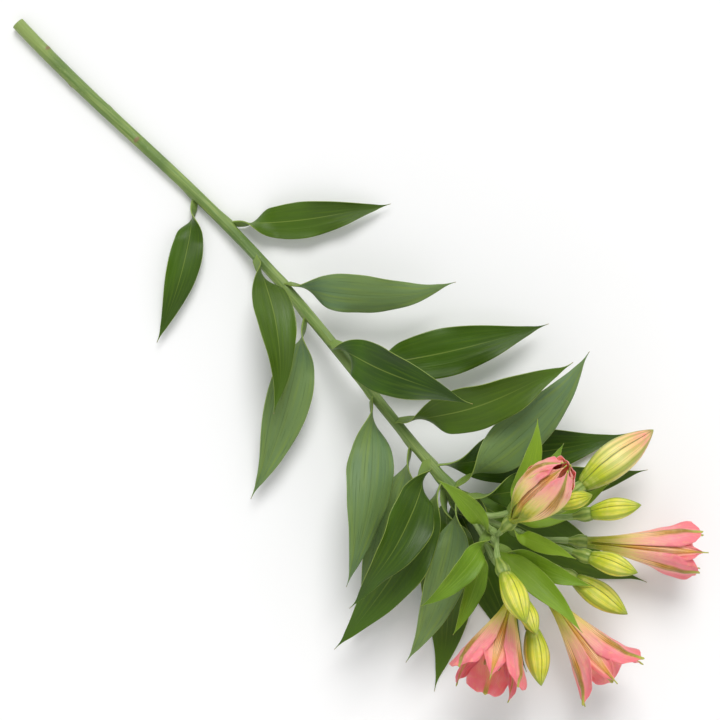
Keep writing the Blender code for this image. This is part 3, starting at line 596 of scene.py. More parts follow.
def matt_material(name, blue, mid, yellow, line):
    """The matt face: grey-green drifting to yellow-green, with broken dark lines along the veins."""
    paint, across, along, from_midrib, wandering = blade_paint(name, 0.32)
    streak = paint.streaks(across, along, 4, 2)
    paint.colour = paint.blend(paint.rise(paint.cloud(21), 0.35, 0.62), blue, mid)
    paint.over(yellow, paint.rise(streak, 0.42, 0.75), 0.7)
    broken = paint.rise(paint.streaks(across, along, 14, 9), 0.46, 0.62)
    veins = paint.times(paint.lines(wandering, 0.15, 0.020), broken)
    midrib = paint.times(paint.rise(from_midrib, 0.03, 0.008), paint.rise(along, 1.0, 0.5))
    paint.over(line, paint.work("MAXIMUM", paint.times(veins, 0.32), paint.times(midrib, 0.35)))
    paint_ends(paint, from_midrib, along, 0.8)
    height = paint.work("SUBTRACT", paint.streaks(across, along, 46, 5), veins)
    return paint.finish(height, 0.0001, paint.between(0.44, 0.62, streak))


leaf_faces = [gloss_material("leaf_gloss", GLOSS_DARK, GLOSS_MID, GLOSS_BRIGHT),
              matt_material("leaf_matt", MATT_BLUE, MATT_MID, MATT_YELLOW, MATT_LINE)]
# The leaves get brighter up the stem, and differ a little from one to the next
for place, (node, leaf) in enumerate(LEAVES.items()):
    before, foot, after = stem_axis(np.array([leaf.along - 0.5, leaf.along, leaf.along + 0.5]))
    tone = 0.3 + 0.3 * place / len(LEAVES) + 0.3 * np.sin(7.3 * place)
    shell = blade_shell(leaf, foot, unit(after - before), stem_radius(leaf.along), LEAF_ROWS, LEAF_COLUMNS,
                        matt_up=node in MATT_FACE_UP, tone=tone)
    piece = skin(node + "_blade", [shell], leaf_faces)
    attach(piece, "root")
    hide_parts(node)


# Flower stalks
# Five stalks leave the swelling, and each forks to the short, thinner stalks of two or three
# florets. They are one growth, smooth and a lighter green than the stem.

# A floret's seat is the top of its ovary, given ahead, to the left and over the place where the
# stalks leave the stem. Heading and rise say where it points, and roll turns it about that.
Floret = namedtuple("Floret", "ahead left over heading rise roll")
Ray = namedtuple("Ray", "spot fork florets")
RAYS = {
    "a": Ray(162, (21, -8, 4), {
        "1": Floret(42, -15, 6, -62, 26, -55),
        "2": Floret(59, -18, 12, -34, 6, 0),
        "3": Floret(45, -12, 18, -20, 34, 0),
    }),
    "b": Ray(234, (24, -3, -4), {
        "1": Floret(54, -1, -3, -6, 8, 60),
        "2": Floret(57, 14, 1, 14, 8, 0),
    }),
    "c": Ray(306, (22, 10, -4), {
        "1": Floret(48, 31, -5, 42, -4, 60),
        "2": Floret(53, 27, 12, 30, 22, 0),
    }),
    "d": Ray(18, (13, 17, 6), {
        "1": Floret(25, 48, 7, 84, -14, 0),
        "2": Floret(37, 42, 17, 58, 16, 0),
        "3": Floret(24, 35, 24, 70, 40, 0),
    }),
    "e": Ray(90, (11, 1, 18), {
        "1": Floret(11, 12, 38, 96, 40, 40),
        "2": Floret(28, -9, 37, -20, 36, 0),
    }),
}
STALK_RADIUS = 1.5
FORK_RADIUS = 1.9
FORK_FROM = 13 / 18
PEDICEL_RADIUS = 1.15
PEDICEL_WIDENING = 0.5
CROTCH_WIDENING = 0.6
STALK_CIRCLE = 2.9
STALK_ROOT = 3
STALK_SIDES = 20
STALK_ROWS = 40
OVARY_LENGTH = 10
STALK_GREEN = (0.175, 0.285, 0.060, 1)
STALK_PALE = (0.330, 0.420, 0.150, 1)


def hermite(start, start_pull, end, end_pull, count):
    """A cubic from start to end that leaves along one vector and arrives along another."""
    t = in_rows(0, 1, count)
    from_start = (2 * t ** 3 - 3 * t ** 2 + 1) * start + (t ** 3 - 2 * t ** 2 + t) * start_pull
    return from_start + (3 * t ** 2 - 2 * t ** 3) * end + (t ** 3 - t ** 2) * end_pull


def head_point(ahead, left, over):
    """A point given from where the flower stalks leave the stem."""
    return stem_axis(np.array(STEM_LENGTH)) + np.array([ahead, left, over])


def floret_seat(floret):
    """The middle of the ovary's top, and the way the floret points."""
    return head_point(*floret[:3]), heading_vector(floret.heading, floret.rise)


def ray_start(ray):
    """Where a stalk leaves the swelling, on a circle round its axis."""
    spot = np.radians(ray.spot)
    return head_point(2 * SEAT_GAP, STALK_CIRCLE * np.cos(spot), STALK_CIRCLE * np.sin(spot))


def stalk_points(ray, count):
    """From the swelling, which it leaves straight ahead, to the fork."""
    start, fork = ray_start(ray), head_point(*ray.fork)
    reach = np.linalg.norm(fork - start)
    return hermite(start, np.array([reach, 0, 0]), fork, fork - start, count)


def pedicel_points(ray, floret, count):
    """From the fork to the foot of the ovary, arriving the way the floret points."""
    fork = head_point(*ray.fork)
    seat, pointing = floret_seat(floret)
    foot = seat - pointing * (OVARY_LENGTH - 1)
    reach = np.linalg.norm(foot - fork)
    return hermite(fork, unit(fork - ray_start(ray)) * reach, foot, pointing * reach, count)


def rod(path, radii):
    """A closed stalk along a path."""
    return Shell(tube(path, radii, STALK_SIDES), in_columns(0, 1, STALK_SIDES + 1), in_rows(0, 1, len(path)))


def stalk_material():
    """Light green, with paler streaks along it and soft pale blotches."""
    paint = Paint("stalk_rind", {"Roughness": 0.48})
    across, along = paint.pattern()
    streak = paint.streaks(across, along, 14, 3)
    paint.colour = paint.blend(paint.rise(streak, 0.35, 0.7), STALK_GREEN, STALK_PALE)
    paint.over(STALK_PALE, paint.rise(paint.cloud(160), 0.45, 0.7), 0.4)
    return paint.finish(streak, 0.0003)


stalk_rind = stalk_material()
t = np.linspace(0, 1, STALK_ROWS)
pedicel_girth = (PEDICEL_RADIUS * (1 + PEDICEL_WIDENING * smoothstep(t, 0.5, 1))
                 + CROTCH_WIDENING * smoothstep(t, 0.3, 0))
for key, ray in RAYS.items():
    path = np.concatenate([[ray_start(ray) - (STALK_ROOT, 0, 0)], stalk_points(ray, STALK_ROWS)])
    girth = between(STALK_RADIUS, FORK_RADIUS, smoothstep(np.linspace(0, 1, len(path)), FORK_FROM, 1))
    stalks = [rod(path, girth)]
    for floret in ray.florets.values():
        stalks.append(rod(pedicel_points(ray, floret, STALK_ROWS), pedicel_girth))
    piece = skin("ray_" + key + "_stalks", stalks, [stalk_rind])
    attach(piece, "root")
    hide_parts("ray_" + key)


# Ovaries
# The seed vessel under each flower: a small green top with six ribs, grown in one with its stalk,
# and pinched where the tepals start.

OVARY_RADIUS = 3.4
OVARY_NECK_RADIUS = 3.1
PEDICEL_END_RADIUS = 1.7
OVARY_LID_DRAWN_IN = 0.5
OVARY_SCALE = 1.03
OVARY_FURROW = 0.10
OVARY_RIB_HEIGHT = 0.13
OVARY_RIB_POWER = 1.4
OVARY_OVERLAP = 0.2
OVARY_SIDES = 72
OVARY_ROWS = 34
OVARY_GREEN = (0.130, 0.215, 0.022, 1)
OVARY_RIB = (0.290, 0.370, 0.070, 1)


def placed(points, floret):
    """Points of a floret's own frame, with z along it, turned by its roll and set at its seat."""
    seat, pointing = floret_seat(floret)
    left, up = level_frame(pointing)
    turn = np.radians(floret.roll)
    first = np.cos(turn) * left + np.sin(turn) * up
    second = np.cos(turn) * up - np.sin(turn) * left
    return seat + points @ np.stack([first, second, pointing])


def turned(radius, turn, height):
    """Rings round the z axis from a radius and a height for each ring and angle."""
    radius, turn, height = np.broadcast_arrays(radius, turn, height)
    return np.stack([radius * np.cos(turn), radius * np.sin(turn), height], axis=-1)


def ovary_shell(floret):
    """A top: a smooth step up from its stalk, with six ribs as a power of a cosine round it."""
    along = in_rows(0.02, 1, OVARY_ROWS)
    turn = ring_turns(OVARY_SIDES)
    grown = smoothstep(along, 0.04, 0.60)
    neck = OVARY_NECK_RADIUS * (1 - OVARY_LID_DRAWN_IN * smoothstep(along, 0.94, 1))
    radius = between(between(PEDICEL_END_RADIUS, OVARY_RADIUS, grown), neck, smoothstep(along, 0.72, 0.94))
    rib = np.abs(np.cos(3 * turn)) ** OVARY_RIB_POWER
    relief = (OVARY_RIB_HEIGHT * rib - OVARY_FURROW) * grown * smoothstep(along, 1, 0.9)
    height = OVARY_LENGTH * (along - 1) + OVARY_OVERLAP
    rings = placed(turned(radius * (OVARY_SCALE + relief), turn, height), floret)
    return Shell(rings, in_columns(0, 1, OVARY_SIDES + 1), along, mark=rib)


def ovary_material():
    """Green, with lighter ribs, and darker again where the tepals start."""
    paint = Paint("ovary_skin", {"Roughness": 0.42})
    across, along = paint.pattern()
    paint.colour = paint.blend(paint.rise(paint.mark(), 0.35, 1.0), OVARY_GREEN, OVARY_RIB)
    paint.over(OVARY_RIB, paint.rise(paint.cloud(300), 0.4, 0.7), 0.4)
    paint.over(OVARY_GREEN, paint.rise(along, 0.86, 0.98), 0.7)
    return paint.finish(paint.streaks(across, along, 40, 4), 0.0002)


ovary_skin = ovary_material()
for ray_key, ray in RAYS.items():
    for number, floret in ray.florets.items():
        piece = skin("ovary_" + ray_key + number, [ovary_shell(floret)], [ovary_skin])
        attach(piece, "root")
        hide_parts("ray_" + ray_key)


# Bracts
# Small young leaves on the flower stalks, below the forks: thinner than the leaves, with longer
# tips, and a brighter yellow-green.

BRACT_ROWS = 64
BRACT_COLUMNS = 29
BRACTS = {
    "bract_a1": ("a", Blade(16, 0, 10, -10, 24, -18, 62, 14, -8, 0.25, 0.12)),
    "bract_a2": ("a", Blade(15, 200, -52, -20, 10, -20, 46, 12, -15, 0.25, 0.12)),
    "bract_b1": ("b", Blade(20, 60, 18, 12, 28, -36, 50, 13, 10, 0.25, 0.12)),
    "bract_c1": ("c", Blade(17, 330, 60, 14, 0, -10, 54, 14, 6, 0.2, 0.10)),
    "bract_c2": ("c", Blade(19, 120, 24, 6, 36, -30, 36, 10, 10, 0.25, 0.10)),
    "bract_d1": ("d", Blade(16, 60, 108, 24, 34, -50, 50, 13, 15, 0.22, 0.12)),
    "bract_d2": ("d", Blade(18, -40, 92, 14, 2, -12, 40, 11, 0, 0.22, 0.12)),
    "bract_e1": ("e", Blade(14, 200, -70, -30, 34, -60, 52, 14, -15, 0.22, 0.12)),
    "bract_e2": ("e", Blade(16, 130, 170, 20, 46, -50, 40, 11, 0, 0.25, 0.12)),
}
BRACT_DARK = (0.085, 0.185, 0.006, 1)
BRACT_MID = (0.170, 0.315, 0.010, 1)
BRACT_BRIGHT = (0.330, 0.480, 0.030, 1)
BRACT_MATT_BLUE = (0.160, 0.270, 0.060, 1)
BRACT_MATT_MID = (0.230, 0.350, 0.060, 1)

bract_faces = [gloss_material("bract_gloss", BRACT_DARK, BRACT_MID, BRACT_BRIGHT),
               matt_material("bract_matt", BRACT_MATT_BLUE, BRACT_MATT_MID, BRACT_BRIGHT, BRACT_DARK)]
for place, (node, (ray_key, bract)) in enumerate(BRACTS.items()):
    path = stalk_points(RAYS[ray_key], 60)
    walked = np.concatenate([[0], np.cumsum(np.linalg.norm(np.diff(path, axis=0), axis=1))])
    spot = int(np.argmin(np.abs(walked - bract.along)))
    low, high = max(spot - 1, 0), min(spot + 1, len(path) - 1)
    shell = blade_shell(bract, path[spot], unit(path[high] - path[low]), STALK_RADIUS,
                        BRACT_ROWS, BRACT_COLUMNS, matt_up=False, tone=0.5 + 0.4 * np.sin(5.1 * place))
    piece = skin(node + "_blade", [shell], bract_faces)
    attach(piece, "root")
    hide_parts(node)


# Buds
# Closed flowers: three outer tepals meet edge over edge in a pointed spindle. They are lime yellow
# with soft green bands down their ridges, and the largest is already flushed with pink.

# Each bud's length and thickness
BUDS = {
    "a2": (27, 12), "a3": (19, 8.5), "b2": (30, 12.5), "c2": (24, 10.5),
    "d1": (46, 17), "d2": (24, 10.5), "d3": (17, 8), "e2": (28, 12),
}
FLUSHED_BUDS = ("d1",)
BUD_FOOT_RADIUS = 2.9
BUD_FULLNESS = 0.85
BUD_LOW_BELLY = 0.9
BUD_FOOT_FADE = 6
BUD_FOOT_SINK = 0.8
BUD_END_RADIUS = 0.05
BUD_TWIST = 0.35
# The relief is in shares of the radius, and past a seam is counted in half lobes
LOBE_HEIGHT = 0.07
GROOVE_DEPTH = 0.10
GROOVE_WIDTH = 0.07
LAP_HEIGHT = 0.055
LAP_STEP = 0.05
LAP_REACH = 0.45
BUD_RIB_HEIGHT = 0.010
BUD_RIBS = 15
FOOT_CROWDING = 0.85
BUD_SIDES = 96
BUD_ROWS = 64
BUD_BASE = (0.210, 0.310, 0.012, 1)
BUD_LIME = (0.520, 0.570, 0.020, 1)
BUD_YELLOW = (0.760, 0.730, 0.075, 1)
BUD_CREAM = (0.820, 0.740, 0.260, 1)
BUD_PEACH = (0.850, 0.520, 0.230, 1)
BUD_ROSE = (0.860, 0.330, 0.250, 1)
BUD_TIP = (0.250, 0.360, 0.035, 1)
BUD_BAND = (0.240, 0.340, 0.015, 1)
# Dark green of the fine veins, also used for the painted shadow along the seams between the lobes
BUD_VEIN_AND_SEAM_SHADE = (0.060, 0.105, 0.006, 1)


def bud_shell(floret, length, thickness):
    """A spindle: a power of a sine in the height, with three lobes as a cosine round it.

    The lobes turn about the axis towards the tip. Where two meet there is a narrow groove, and one
    lies a little over the other. The pattern's across counts the lobes, from 0 to 3, with a ridge at
    each whole number.
    """
    climb = in_rows(0, 1, BUD_ROWS) ** FOOT_CROWDING
    turn = ring_turns(BUD_SIDES)
    lobe = turn - BUD_TWIST * climb ** 2
    spindle = thickness / 2 * np.sin(np.pi * climb ** BUD_LOW_BELLY) ** BUD_FULLNESS
    radius = spindle + BUD_FOOT_RADIUS * (1 - climb) ** BUD_FOOT_FADE
    past_seam = np.angle(np.exp(3j * (lobe - TAU / 6))) / np.pi
    grown = smoothstep(climb, 0, 0.12)
    groove = GROOVE_DEPTH * hump(past_seam, GROOVE_WIDTH) * grown
    lap = LAP_HEIGHT * smoothstep(past_seam, 0, LAP_STEP) * hump(past_seam, LAP_REACH) * grown
    relief = LOBE_HEIGHT * np.cos(3 * lobe) + BUD_RIB_HEIGHT * np.cos(BUD_RIBS * lobe) + lap - groove
    height = SEAT_GAP + length * climb - BUD_FOOT_SINK * (1 - climb) ** 8
    counted = 3 / TAU * (in_columns(0, TAU, BUD_SIDES + 1) - BUD_TWIST * climb ** 2)
    rings = turned(radius * (1 + relief) + BUD_END_RADIUS, turn, height)
    return Shell(placed(rings, floret), counted, climb)


def bud_material(name, stops):
    """Colours along the bud, under soft green bands, a few fine dark lines and a painted shadow line down
    each seam, where one lobe laps the next.
    """
    paint = Paint(name, {"Subsurface Weight": 0.15, "Subsurface Scale": 0.002, "Specular IOR Level": 0.45})
    across, along = paint.pattern()
    paint.colour = paint.ramp(along, stops)
    paint.over(BUD_CREAM, paint.rise(paint.cloud(240), 0.42, 0.7), 0.35)
    wandering = paint.wander(across, along, 0.07)
    off_ridge = paint.work("PINGPONG", wandering, 0.5)
    off_side = paint.work("ABSOLUTE", paint.work("SUBTRACT", off_ridge, 0.27))
    ridge = paint.times(paint.rise(off_ridge, 0.15, 0.04), 0.85)
    sides = paint.times(paint.rise(off_side, 0.07, 0.02), 0.5)
    fading = paint.between(0.55, 1.15, paint.streaks(across, along, 6, 3))
    paint.over(BUD_BAND, paint.times(paint.work("MAXIMUM", ridge, sides), fading))
    # Painted shade: a dark line down each seam, standing for the shadow in the groove where one lobe laps the
    # next
    seam_shade = paint.times(paint.rise(off_ridge, 0.465, 0.49), 0.8)
    fine = paint.times(paint.times(paint.lines(wandering, 0.135, 0.012), 0.45), fading)
    paint.over(BUD_VEIN_AND_SEAM_SHADE, paint.work("MAXIMUM", seam_shade, fine))
    roughness = paint.between(0.32, 0.47, paint.streaks(across, along, 12, 4))
    return paint.finish(paint.streaks(across, along, 40, 6), 0.0002, roughness)


young_bud = bud_material("bud_young", ((0.0, BUD_BASE), (0.2, BUD_LIME), (0.55, BUD_YELLOW),
                                       (0.85, BUD_LIME), (1.0, BUD_TIP)))
flushed_bud = bud_material("bud_flushed", ((0.0, BUD_BASE), (0.2, BUD_LIME), (0.45, BUD_CREAM),
                                           (0.7, BUD_PEACH), (0.88, BUD_ROSE), (1.0, BUD_TIP)))
for key, (length, thickness) in BUDS.items():
    floret = RAYS[key[0]].florets[key[1]]
    finish = flushed_bud if key in FLUSHED_BUDS else young_bud
    piece = skin("bud_" + key + "_tepals", [bud_shell(floret, length, thickness)], [finish])
    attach(piece, "root")
    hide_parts("bud_" + key)


# Blooms
# Half-open funnels of six fleshy tepals: three broad outer ones, veined with olive down to a green
# point, and three narrow inner ones striped with gold. Their claws stand on the ovary.

# The flare is how far the outer tepals stand from the axis at the stations along them. Notch is a
# share of their length, hook is how far their points lean out or, below 0, in, and late is how
# much further up its tepals a bloom turns pink.
FLARE_STATIONS = (0, 0.25, 0.5, 0.75, 1)
Bloom = namedtuple("Bloom", "length flare outer_width inner_width notch hook late")
BLOOMS = {
    "a1": Bloom(48, (2.6, 6.0, 11.0, 15.2, 18.4), 24, 14, 0.06, -1.8, -0.03),
    "b1": Bloom(54, (2.6, 4.9, 8.8, 13.2, 19.5), 22, 13, 0.02, 1.4, 0.06),
    "c1": Bloom(56, (2.6, 4.6, 7.6, 10.4, 11.6), 20, 12, 0.04, -0.8, 0.04),
    "e1": Bloom(47, (2.6, 8.2, 11.8, 10.8, 5.4), 26, 14, 0.00, -2.6, 0.32),
}
# A whorl is turned about the axis, and stands in from the flare by its step and, at its tip, by its
# lean as well. Its slot is the first of its two materials. A tepal of it has a claw of that half
# width, is widest at its peak, and by its tip has lost the share gone, as a power of the way there.
# Point is how far the midline stands out at the tip, keel is its height, and own shifts the folds.
Whorl = namedtuple("Whorl", "slot turned step lean claw peak gone power point notched keel own")
OUTER = Whorl(slot=0, turned=90, step=0, lean=0, claw=2.3, peak=0.64, gone=0.42, power=2.4,
              point=0.036, notched=1, keel=0.35, own=0)
INNER = Whorl(slot=2, turned=150, step=0.9, lean=0.5, claw=1.4, peak=0.62, gone=0.9, power=1.6,
              point=0.050, notched=0, keel=0.5, own=1.7)
CLAW_START = 1.2
FOOT_SUNK = 0.035
LEAST_CLIMB = 0.05
SPREAD_DIFFERENCE = 0.07
LATE_DIFFERENCE = 0.05
TEPAL_PHASE = 2.3
TIP_TURN = 0.07
MOST_WRAP = 0.9
FLATTENING = 0.45
DRAWN_IN = 0.09
POINT_WIDTH = 0.17
POINT_RISE = 0.8
NOTCH_WIDTH = 0.42
HOOK_WIDTH = 0.3
RUFFLE = 0.9
RUFFLE_WAVES = 11
FINE_RUFFLE = 0.45
FINE_RUFFLE_WAVES = 29
CURL = 1.9
CURL_FROM = 0.62
CRINKLE = 0.26
FIRST_FOLD = 0.5
SECOND_FOLD = 0.35
KEEL_WIDTH = 0.18
TEPAL_VEIN_HEIGHT = 0.05
TEPAL_VEINS = 3.5
CLAW_HALF_THICKNESS = 0.30
TEPAL_HALF_THICKNESS = 0.16
EDGE_THINNING = 0.6
MIDLINE_THICKENING = 0.12
MIDLINE_WIDTH = 0.16
RECEPTACLE_HEIGHT = 2.2
CUP_MARGIN = 0.4
CUP_RADIUS = 2.9
CUP_TOP_RADIUS = 1.6
CUP_ROWS = 8
CUP_SIDES = 24
EDGE_CROWDING = 1.15
TEPAL_STEPS = 200
TEPAL_ROWS = 70
TEPAL_COLUMNS = 37

CLAW_GREEN = (0.230, 0.300, 0.010, 1)
CLAW_YELLOW = (0.520, 0.480, 0.025, 1)
TEPAL_LEMON = (0.640, 0.590, 0.120, 1)
TEPAL_CREAM = (0.880, 0.640, 0.230, 1)
TEPAL_PEACH = (0.930, 0.530, 0.290, 1)
TEPAL_SALMON = (0.940, 0.420, 0.330, 1)
TEPAL_PINK = (0.950, 0.330, 0.360, 1)
TEPAL_ROSE = (0.880, 0.190, 0.230, 1)
TEPAL_CORAL = (0.950, 0.190, 0.140, 1)
TEPAL_DEEP = (0.620, 0.080, 0.060, 1)
TEPAL_AMBER = (0.820, 0.400, 0.080, 1)
TEPAL_GOLD = (0.600, 0.290, 0.045, 1)
TEPAL_OLIVE = (0.360, 0.200, 0.018, 1)
TEPAL_VEIN = (0.130, 0.070, 0.005, 1)
TEPAL_POINT = (0.430, 0.450, 0.070, 1)


def tepal_profile(bloom, whorl, index, steps):
    """How far from the axis and how high a tepal is at each step along it.

    The distance is a quartic through the flare. The height climbs by the square root of 1 less the
    slope squared, so that the tepal keeps its length.
    """
    foot = bloom.flare[0]
    curve = np.polyval(np.polyfit(FLARE_STATIONS, bloom.flare, 4), steps)
    spread = 1 + SPREAD_DIFFERENCE * np.sin(TEPAL_PHASE * index + 100 * bloom.length)
    radius = foot + (curve - foot) * spread - whorl.step - whorl.lean * steps
    slope = np.gradient(radius, steps * bloom.length)
    climb = np.sqrt(np.clip(1 - slope ** 2, LEAST_CLIMB, 1))
    walked = np.concatenate([[0], np.cumsum((climb[1:] + climb[:-1]) / 2)]) / (TEPAL_STEPS - 1)
    return radius, CLAW_START + bloom.length * walked


def tepal_relief(whorl, index, own, along, v):
    """How far a tepal's surface is lifted: ruffles, curled edges, crinkles, folds, keel and veins.

    The ruffles are sines that grow as |v|^3, the crinkles a product of two sines aslant, and the
    two folds and the keel are humps across.
    """
    side = np.sign(v)
    ruffle = (RUFFLE * np.sin(RUFFLE_WAVES * along + 2 * index)
              + FINE_RUFFLE * np.sin(FINE_RUFFLE_WAVES * along + own + 2 * side))
    ruffle = ruffle * np.abs(v) ** 3 * smoothstep(along, 0.5, 0.85)
    edge = np.clip((np.abs(v) - CURL_FROM) / (1 - CURL_FROM), 0, 1)
    curl = CURL * np.sin(own + 1.9 * side) * edge ** 2 * smoothstep(along, 0.4, 0.8)
    crinkle = CRINKLE * np.sin(23 * along + 7 * v + own) * np.sin(9 * v - 13 * along + 2 * own)
    crinkle = crinkle * smoothstep(along, 0.45, 0.85)
    folds = FIRST_FOLD * hump(v - 0.5 * np.sin(own), 0.11) + SECOND_FOLD * hump(v + 0.55 * np.cos(own), 0.14)
    folds = folds * smoothstep(along, 0.3, 0.6)
    keel = whorl.keel * hump(v, KEEL_WIDTH) * smoothstep(along, 0, 0.3)
    veins = TEPAL_VEIN_HEIGHT * np.cos(TAU * TEPAL_VEINS * v) * smoothstep(along, 0.2, 0.5)
    return ruffle + curl + crinkle - folds + keel + veins


def tepal_shell(floret, bloom, whorl, width, index):
    """A tepal: narrow at its claw, cupped round the axis, flared and ruffled at the mouth.

    Its half width is a smooth step up to the widest place and a power down to the tip, and its bend
    across is an arc round the axis. The midline ends in a point, which stands in a shallow notch on
    the outer tepals. Its mark is how late it turns pink.
    """
    steps = np.linspace(0, 1, TEPAL_STEPS)
    radius, height = tepal_profile(bloom, whorl, index, steps)
    own = TEPAL_PHASE * index + bloom.length + whorl.own
    s = in_rows(-FOOT_SUNK, 1, TEPAL_ROWS)
    t = in_columns(-1, 1, TEPAL_COLUMNS)
    v = np.sign(t) * np.abs(t) ** EDGE_CROWDING
    point = whorl.point * hump(v, POINT_WIDTH) * smoothstep(s, 0.86, 1)
    notch = whorl.notched * bloom.notch * hump(v, NOTCH_WIDTH) * smoothstep(s, 0.8, 1)
    along = np.maximum(s, 0) - DRAWN_IN * v * v * smoothstep(s, 0.6, 1) - notch + point
    out = np.interp(along, steps, radius)
    past_ends = np.minimum(s, 0) + POINT_RISE * np.maximum(along - 1, 0)
    up = np.interp(along, steps, height) + past_ends * bloom.length
    taper = np.clip((along - whorl.peak) / (1 - whorl.peak), 0, 1) ** whorl.power
    half = between(whorl.claw, width / 2, smoothstep(along, 0, whorl.peak))
    half = np.minimum(half * (1 - whorl.gone * taper), MOST_WRAP * out)
    bend = out * (1 + FLATTENING * along ** 2)
    wrap = half * v / bend
    hook = bloom.hook * hump(v, HOOK_WIDTH) * smoothstep(s, 0.84, 1)
    lifted = bend + tepal_relief(whorl, index, own, along, v) + hook
    outward = out - bend + lifted * np.cos(wrap)
    sideways = lifted * np.sin(wrap)
    turn = np.radians(whorl.turned + 120 * index) + TIP_TURN * np.sin(own) * along ** 2
    middle = np.stack([outward * np.cos(turn) - sideways * np.sin(turn),
                       outward * np.sin(turn) + sideways * np.cos(turn), up], axis=-1)
    thickness = between(CLAW_HALF_THICKNESS, TEPAL_HALF_THICKNESS, smoothstep(along, 0, 0.3))
    thickness = thickness * (1 - EDGE_THINNING * np.abs(v) ** 8) + MIDLINE_THICKENING * hump(v, MIDLINE_WIDTH)
    worn = whorl.slot + np.repeat([0, 1], TEPAL_COLUMNS)[None, :]
    late = bloom.late + LATE_DIFFERENCE * np.sin(TEPAL_PHASE * index + 2 * whorl.slot)
    rings = placed(two_faced(middle, thickness, thickness), floret)
    return Shell(rings, over_and_back(v), np.clip(s, 0, 1), worn, late)


def cup_shell(floret):
    """The floor between the claws: a low cone, drawn in as the square of its height."""
    climb = in_rows(0, 1, CUP_ROWS)
    radius = between(CUP_RADIUS, CUP_TOP_RADIUS, climb ** 2)
    height = between(-CUP_MARGIN, RECEPTACLE_HEIGHT + CUP_MARGIN, climb)
    return Shell(placed(turned(radius, ring_turns(CUP_SIDES), height), floret), 0.0, 0.1 * climb, INNER.slot)


def tepal_material(name, edge_stops, middle_stops, band, line_strength, wing_strength, through):
    """Colours along the edges and along the middle, with veins that run together at the point.

    band is how far from the midline the veined middle reaches, where 1 is the edge. The dark veins
    are in the band, and soft rosy ones all over the wings beside it. through is the share of its
    light that comes through from the other face.
    """
    paint = Paint(name, {"Subsurface Weight": through, "Subsurface Scale": 0.0012,
                         "Subsurface Radius": (1.0, 0.7, 0.6),
                         "Specular IOR Level": 0.4, "Sheen Weight": 0.06})
    across, along = paint.pattern()
    narrowed = paint.between(1.0, 0.5, paint.rise(along, 0.45, 1.0))
    fanned = paint.work("DIVIDE", paint.wander(across, along, 0.07), narrowed)
    from_midline = paint.work("ABSOLUTE", fanned)
    streak = paint.streaks(across, along, 9, 3)
    pinkness = paint.stray(paint.work("SUBTRACT", along, paint.mark()), streak, 0.35)
    paint.colour = paint.ramp(pinkness, edge_stops)
    wings = paint.times(paint.lines(fanned, 0.12, 0.055), paint.rise(pinkness, 0.15, 0.45))
    paint.over(TEPAL_ROSE, wings, wing_strength)
    rim = paint.times(paint.rise(from_midline, 0.7, 1.25), paint.rise(pinkness, 0.45, 0.8))
    paint.over(TEPAL_ROSE, rim, 0.75)
    flush = paint.times(paint.rise(paint.cloud(110), 0.42, 0.68), paint.rise(pinkness, 0.35, 0.75))
    paint.over(TEPAL_ROSE, flush, 0.6)
    middle = paint.ramp(paint.stray(along, streak, 0.2), middle_stops)
    paint.over(middle, paint.rise(paint.stray(from_midline, streak, 0.25), band + 0.12, band - 0.10))
    fading = paint.rise(paint.streaks(across, along, 12, 3), 0.2, 0.6)
    lines = paint.times(paint.lines(fanned, 0.115, 0.034), fading)
    in_band = paint.times(paint.rise(from_midline, band + 0.05, band - 0.06), paint.rise(along, 0.22, 0.55))
    paint.over(TEPAL_VEIN, paint.times(lines, in_band), line_strength)
    paint.over(TEPAL_CREAM, paint.rise(paint.cloud(420), 0.5, 0.75), 0.22)
    paint.over(TEPAL_POINT, paint.times(paint.rise(along, 0.90, 0.99), paint.rise(from_midline, 0.36, 0.18)))
    height = paint.work("ADD", paint.times(streak, 0.6), paint.streaks(across, along, 44, 6))
    return paint.finish(height, 0.0002, paint.between(0.33, 0.49, streak))


outer_back = tepal_material(
    "outer_tepal_back",
    ((0.0, CLAW_GREEN), (0.10, CLAW_YELLOW), (0.20, TEPAL_LEMON), (0.32, TEPAL_CREAM), (0.42, TEPAL_PEACH),
     (0.55, TEPAL_SALMON), (0.74, TEPAL_PINK), (1.0, TEPAL_ROSE)),
    ((0.0, CLAW_GREEN), (0.18, CLAW_YELLOW), (0.36, TEPAL_CREAM), (0.50, TEPAL_PEACH), (0.64, TEPAL_GOLD),
     (0.82, TEPAL_OLIVE), (1.0, TEPAL_POINT)),
    band=0.30, line_strength=0.85, wing_strength=0.4, through=0.3)
outer_face = tepal_material(
    "outer_tepal_face",
    ((0.0, CLAW_YELLOW), (0.2, TEPAL_PEACH), (0.45, TEPAL_CORAL), (0.75, TEPAL_SALMON), (1.0, TEPAL_PINK)),
    ((0.0, CLAW_YELLOW), (0.25, TEPAL_PEACH), (0.5, TEPAL_SALMON), (0.85, TEPAL_PEACH), (1.0, TEPAL_POINT)),
    band=0.22, line_strength=0.15, wing_strength=0.35, through=0.6)
inner_back = tepal_material(
    "inner_tepal_back",
    ((0.0, CLAW_GREEN), (0.16, CLAW_YELLOW), (0.26, TEPAL_LEMON), (0.40, TEPAL_CREAM), (0.56, TEPAL_PEACH),
     (0.82, TEPAL_SALMON), (1.0, TEPAL_PINK)),
    ((0.0, CLAW_GREEN), (0.22, CLAW_YELLOW), (0.42, TEPAL_AMBER), (0.68, TEPAL_PEACH), (0.86, TEPAL_AMBER),
     (1.0, TEPAL_POINT)),
    band=0.42, line_strength=0.85, wing_strength=0.2, through=0.3)
inner_face = tepal_material(
    "inner_tepal_face",
    ((0.0, CLAW_YELLOW), (0.12, TEPAL_DEEP), (0.4, TEPAL_CORAL), (0.75, TEPAL_ROSE), (1.0, TEPAL_PINK)),
    ((0.0, CLAW_YELLOW), (0.4, TEPAL_GOLD), (0.7, TEPAL_SALMON), (1.0, CLAW_YELLOW)),
    band=0.3, line_strength=0.6, wing_strength=0.3, through=0.3)

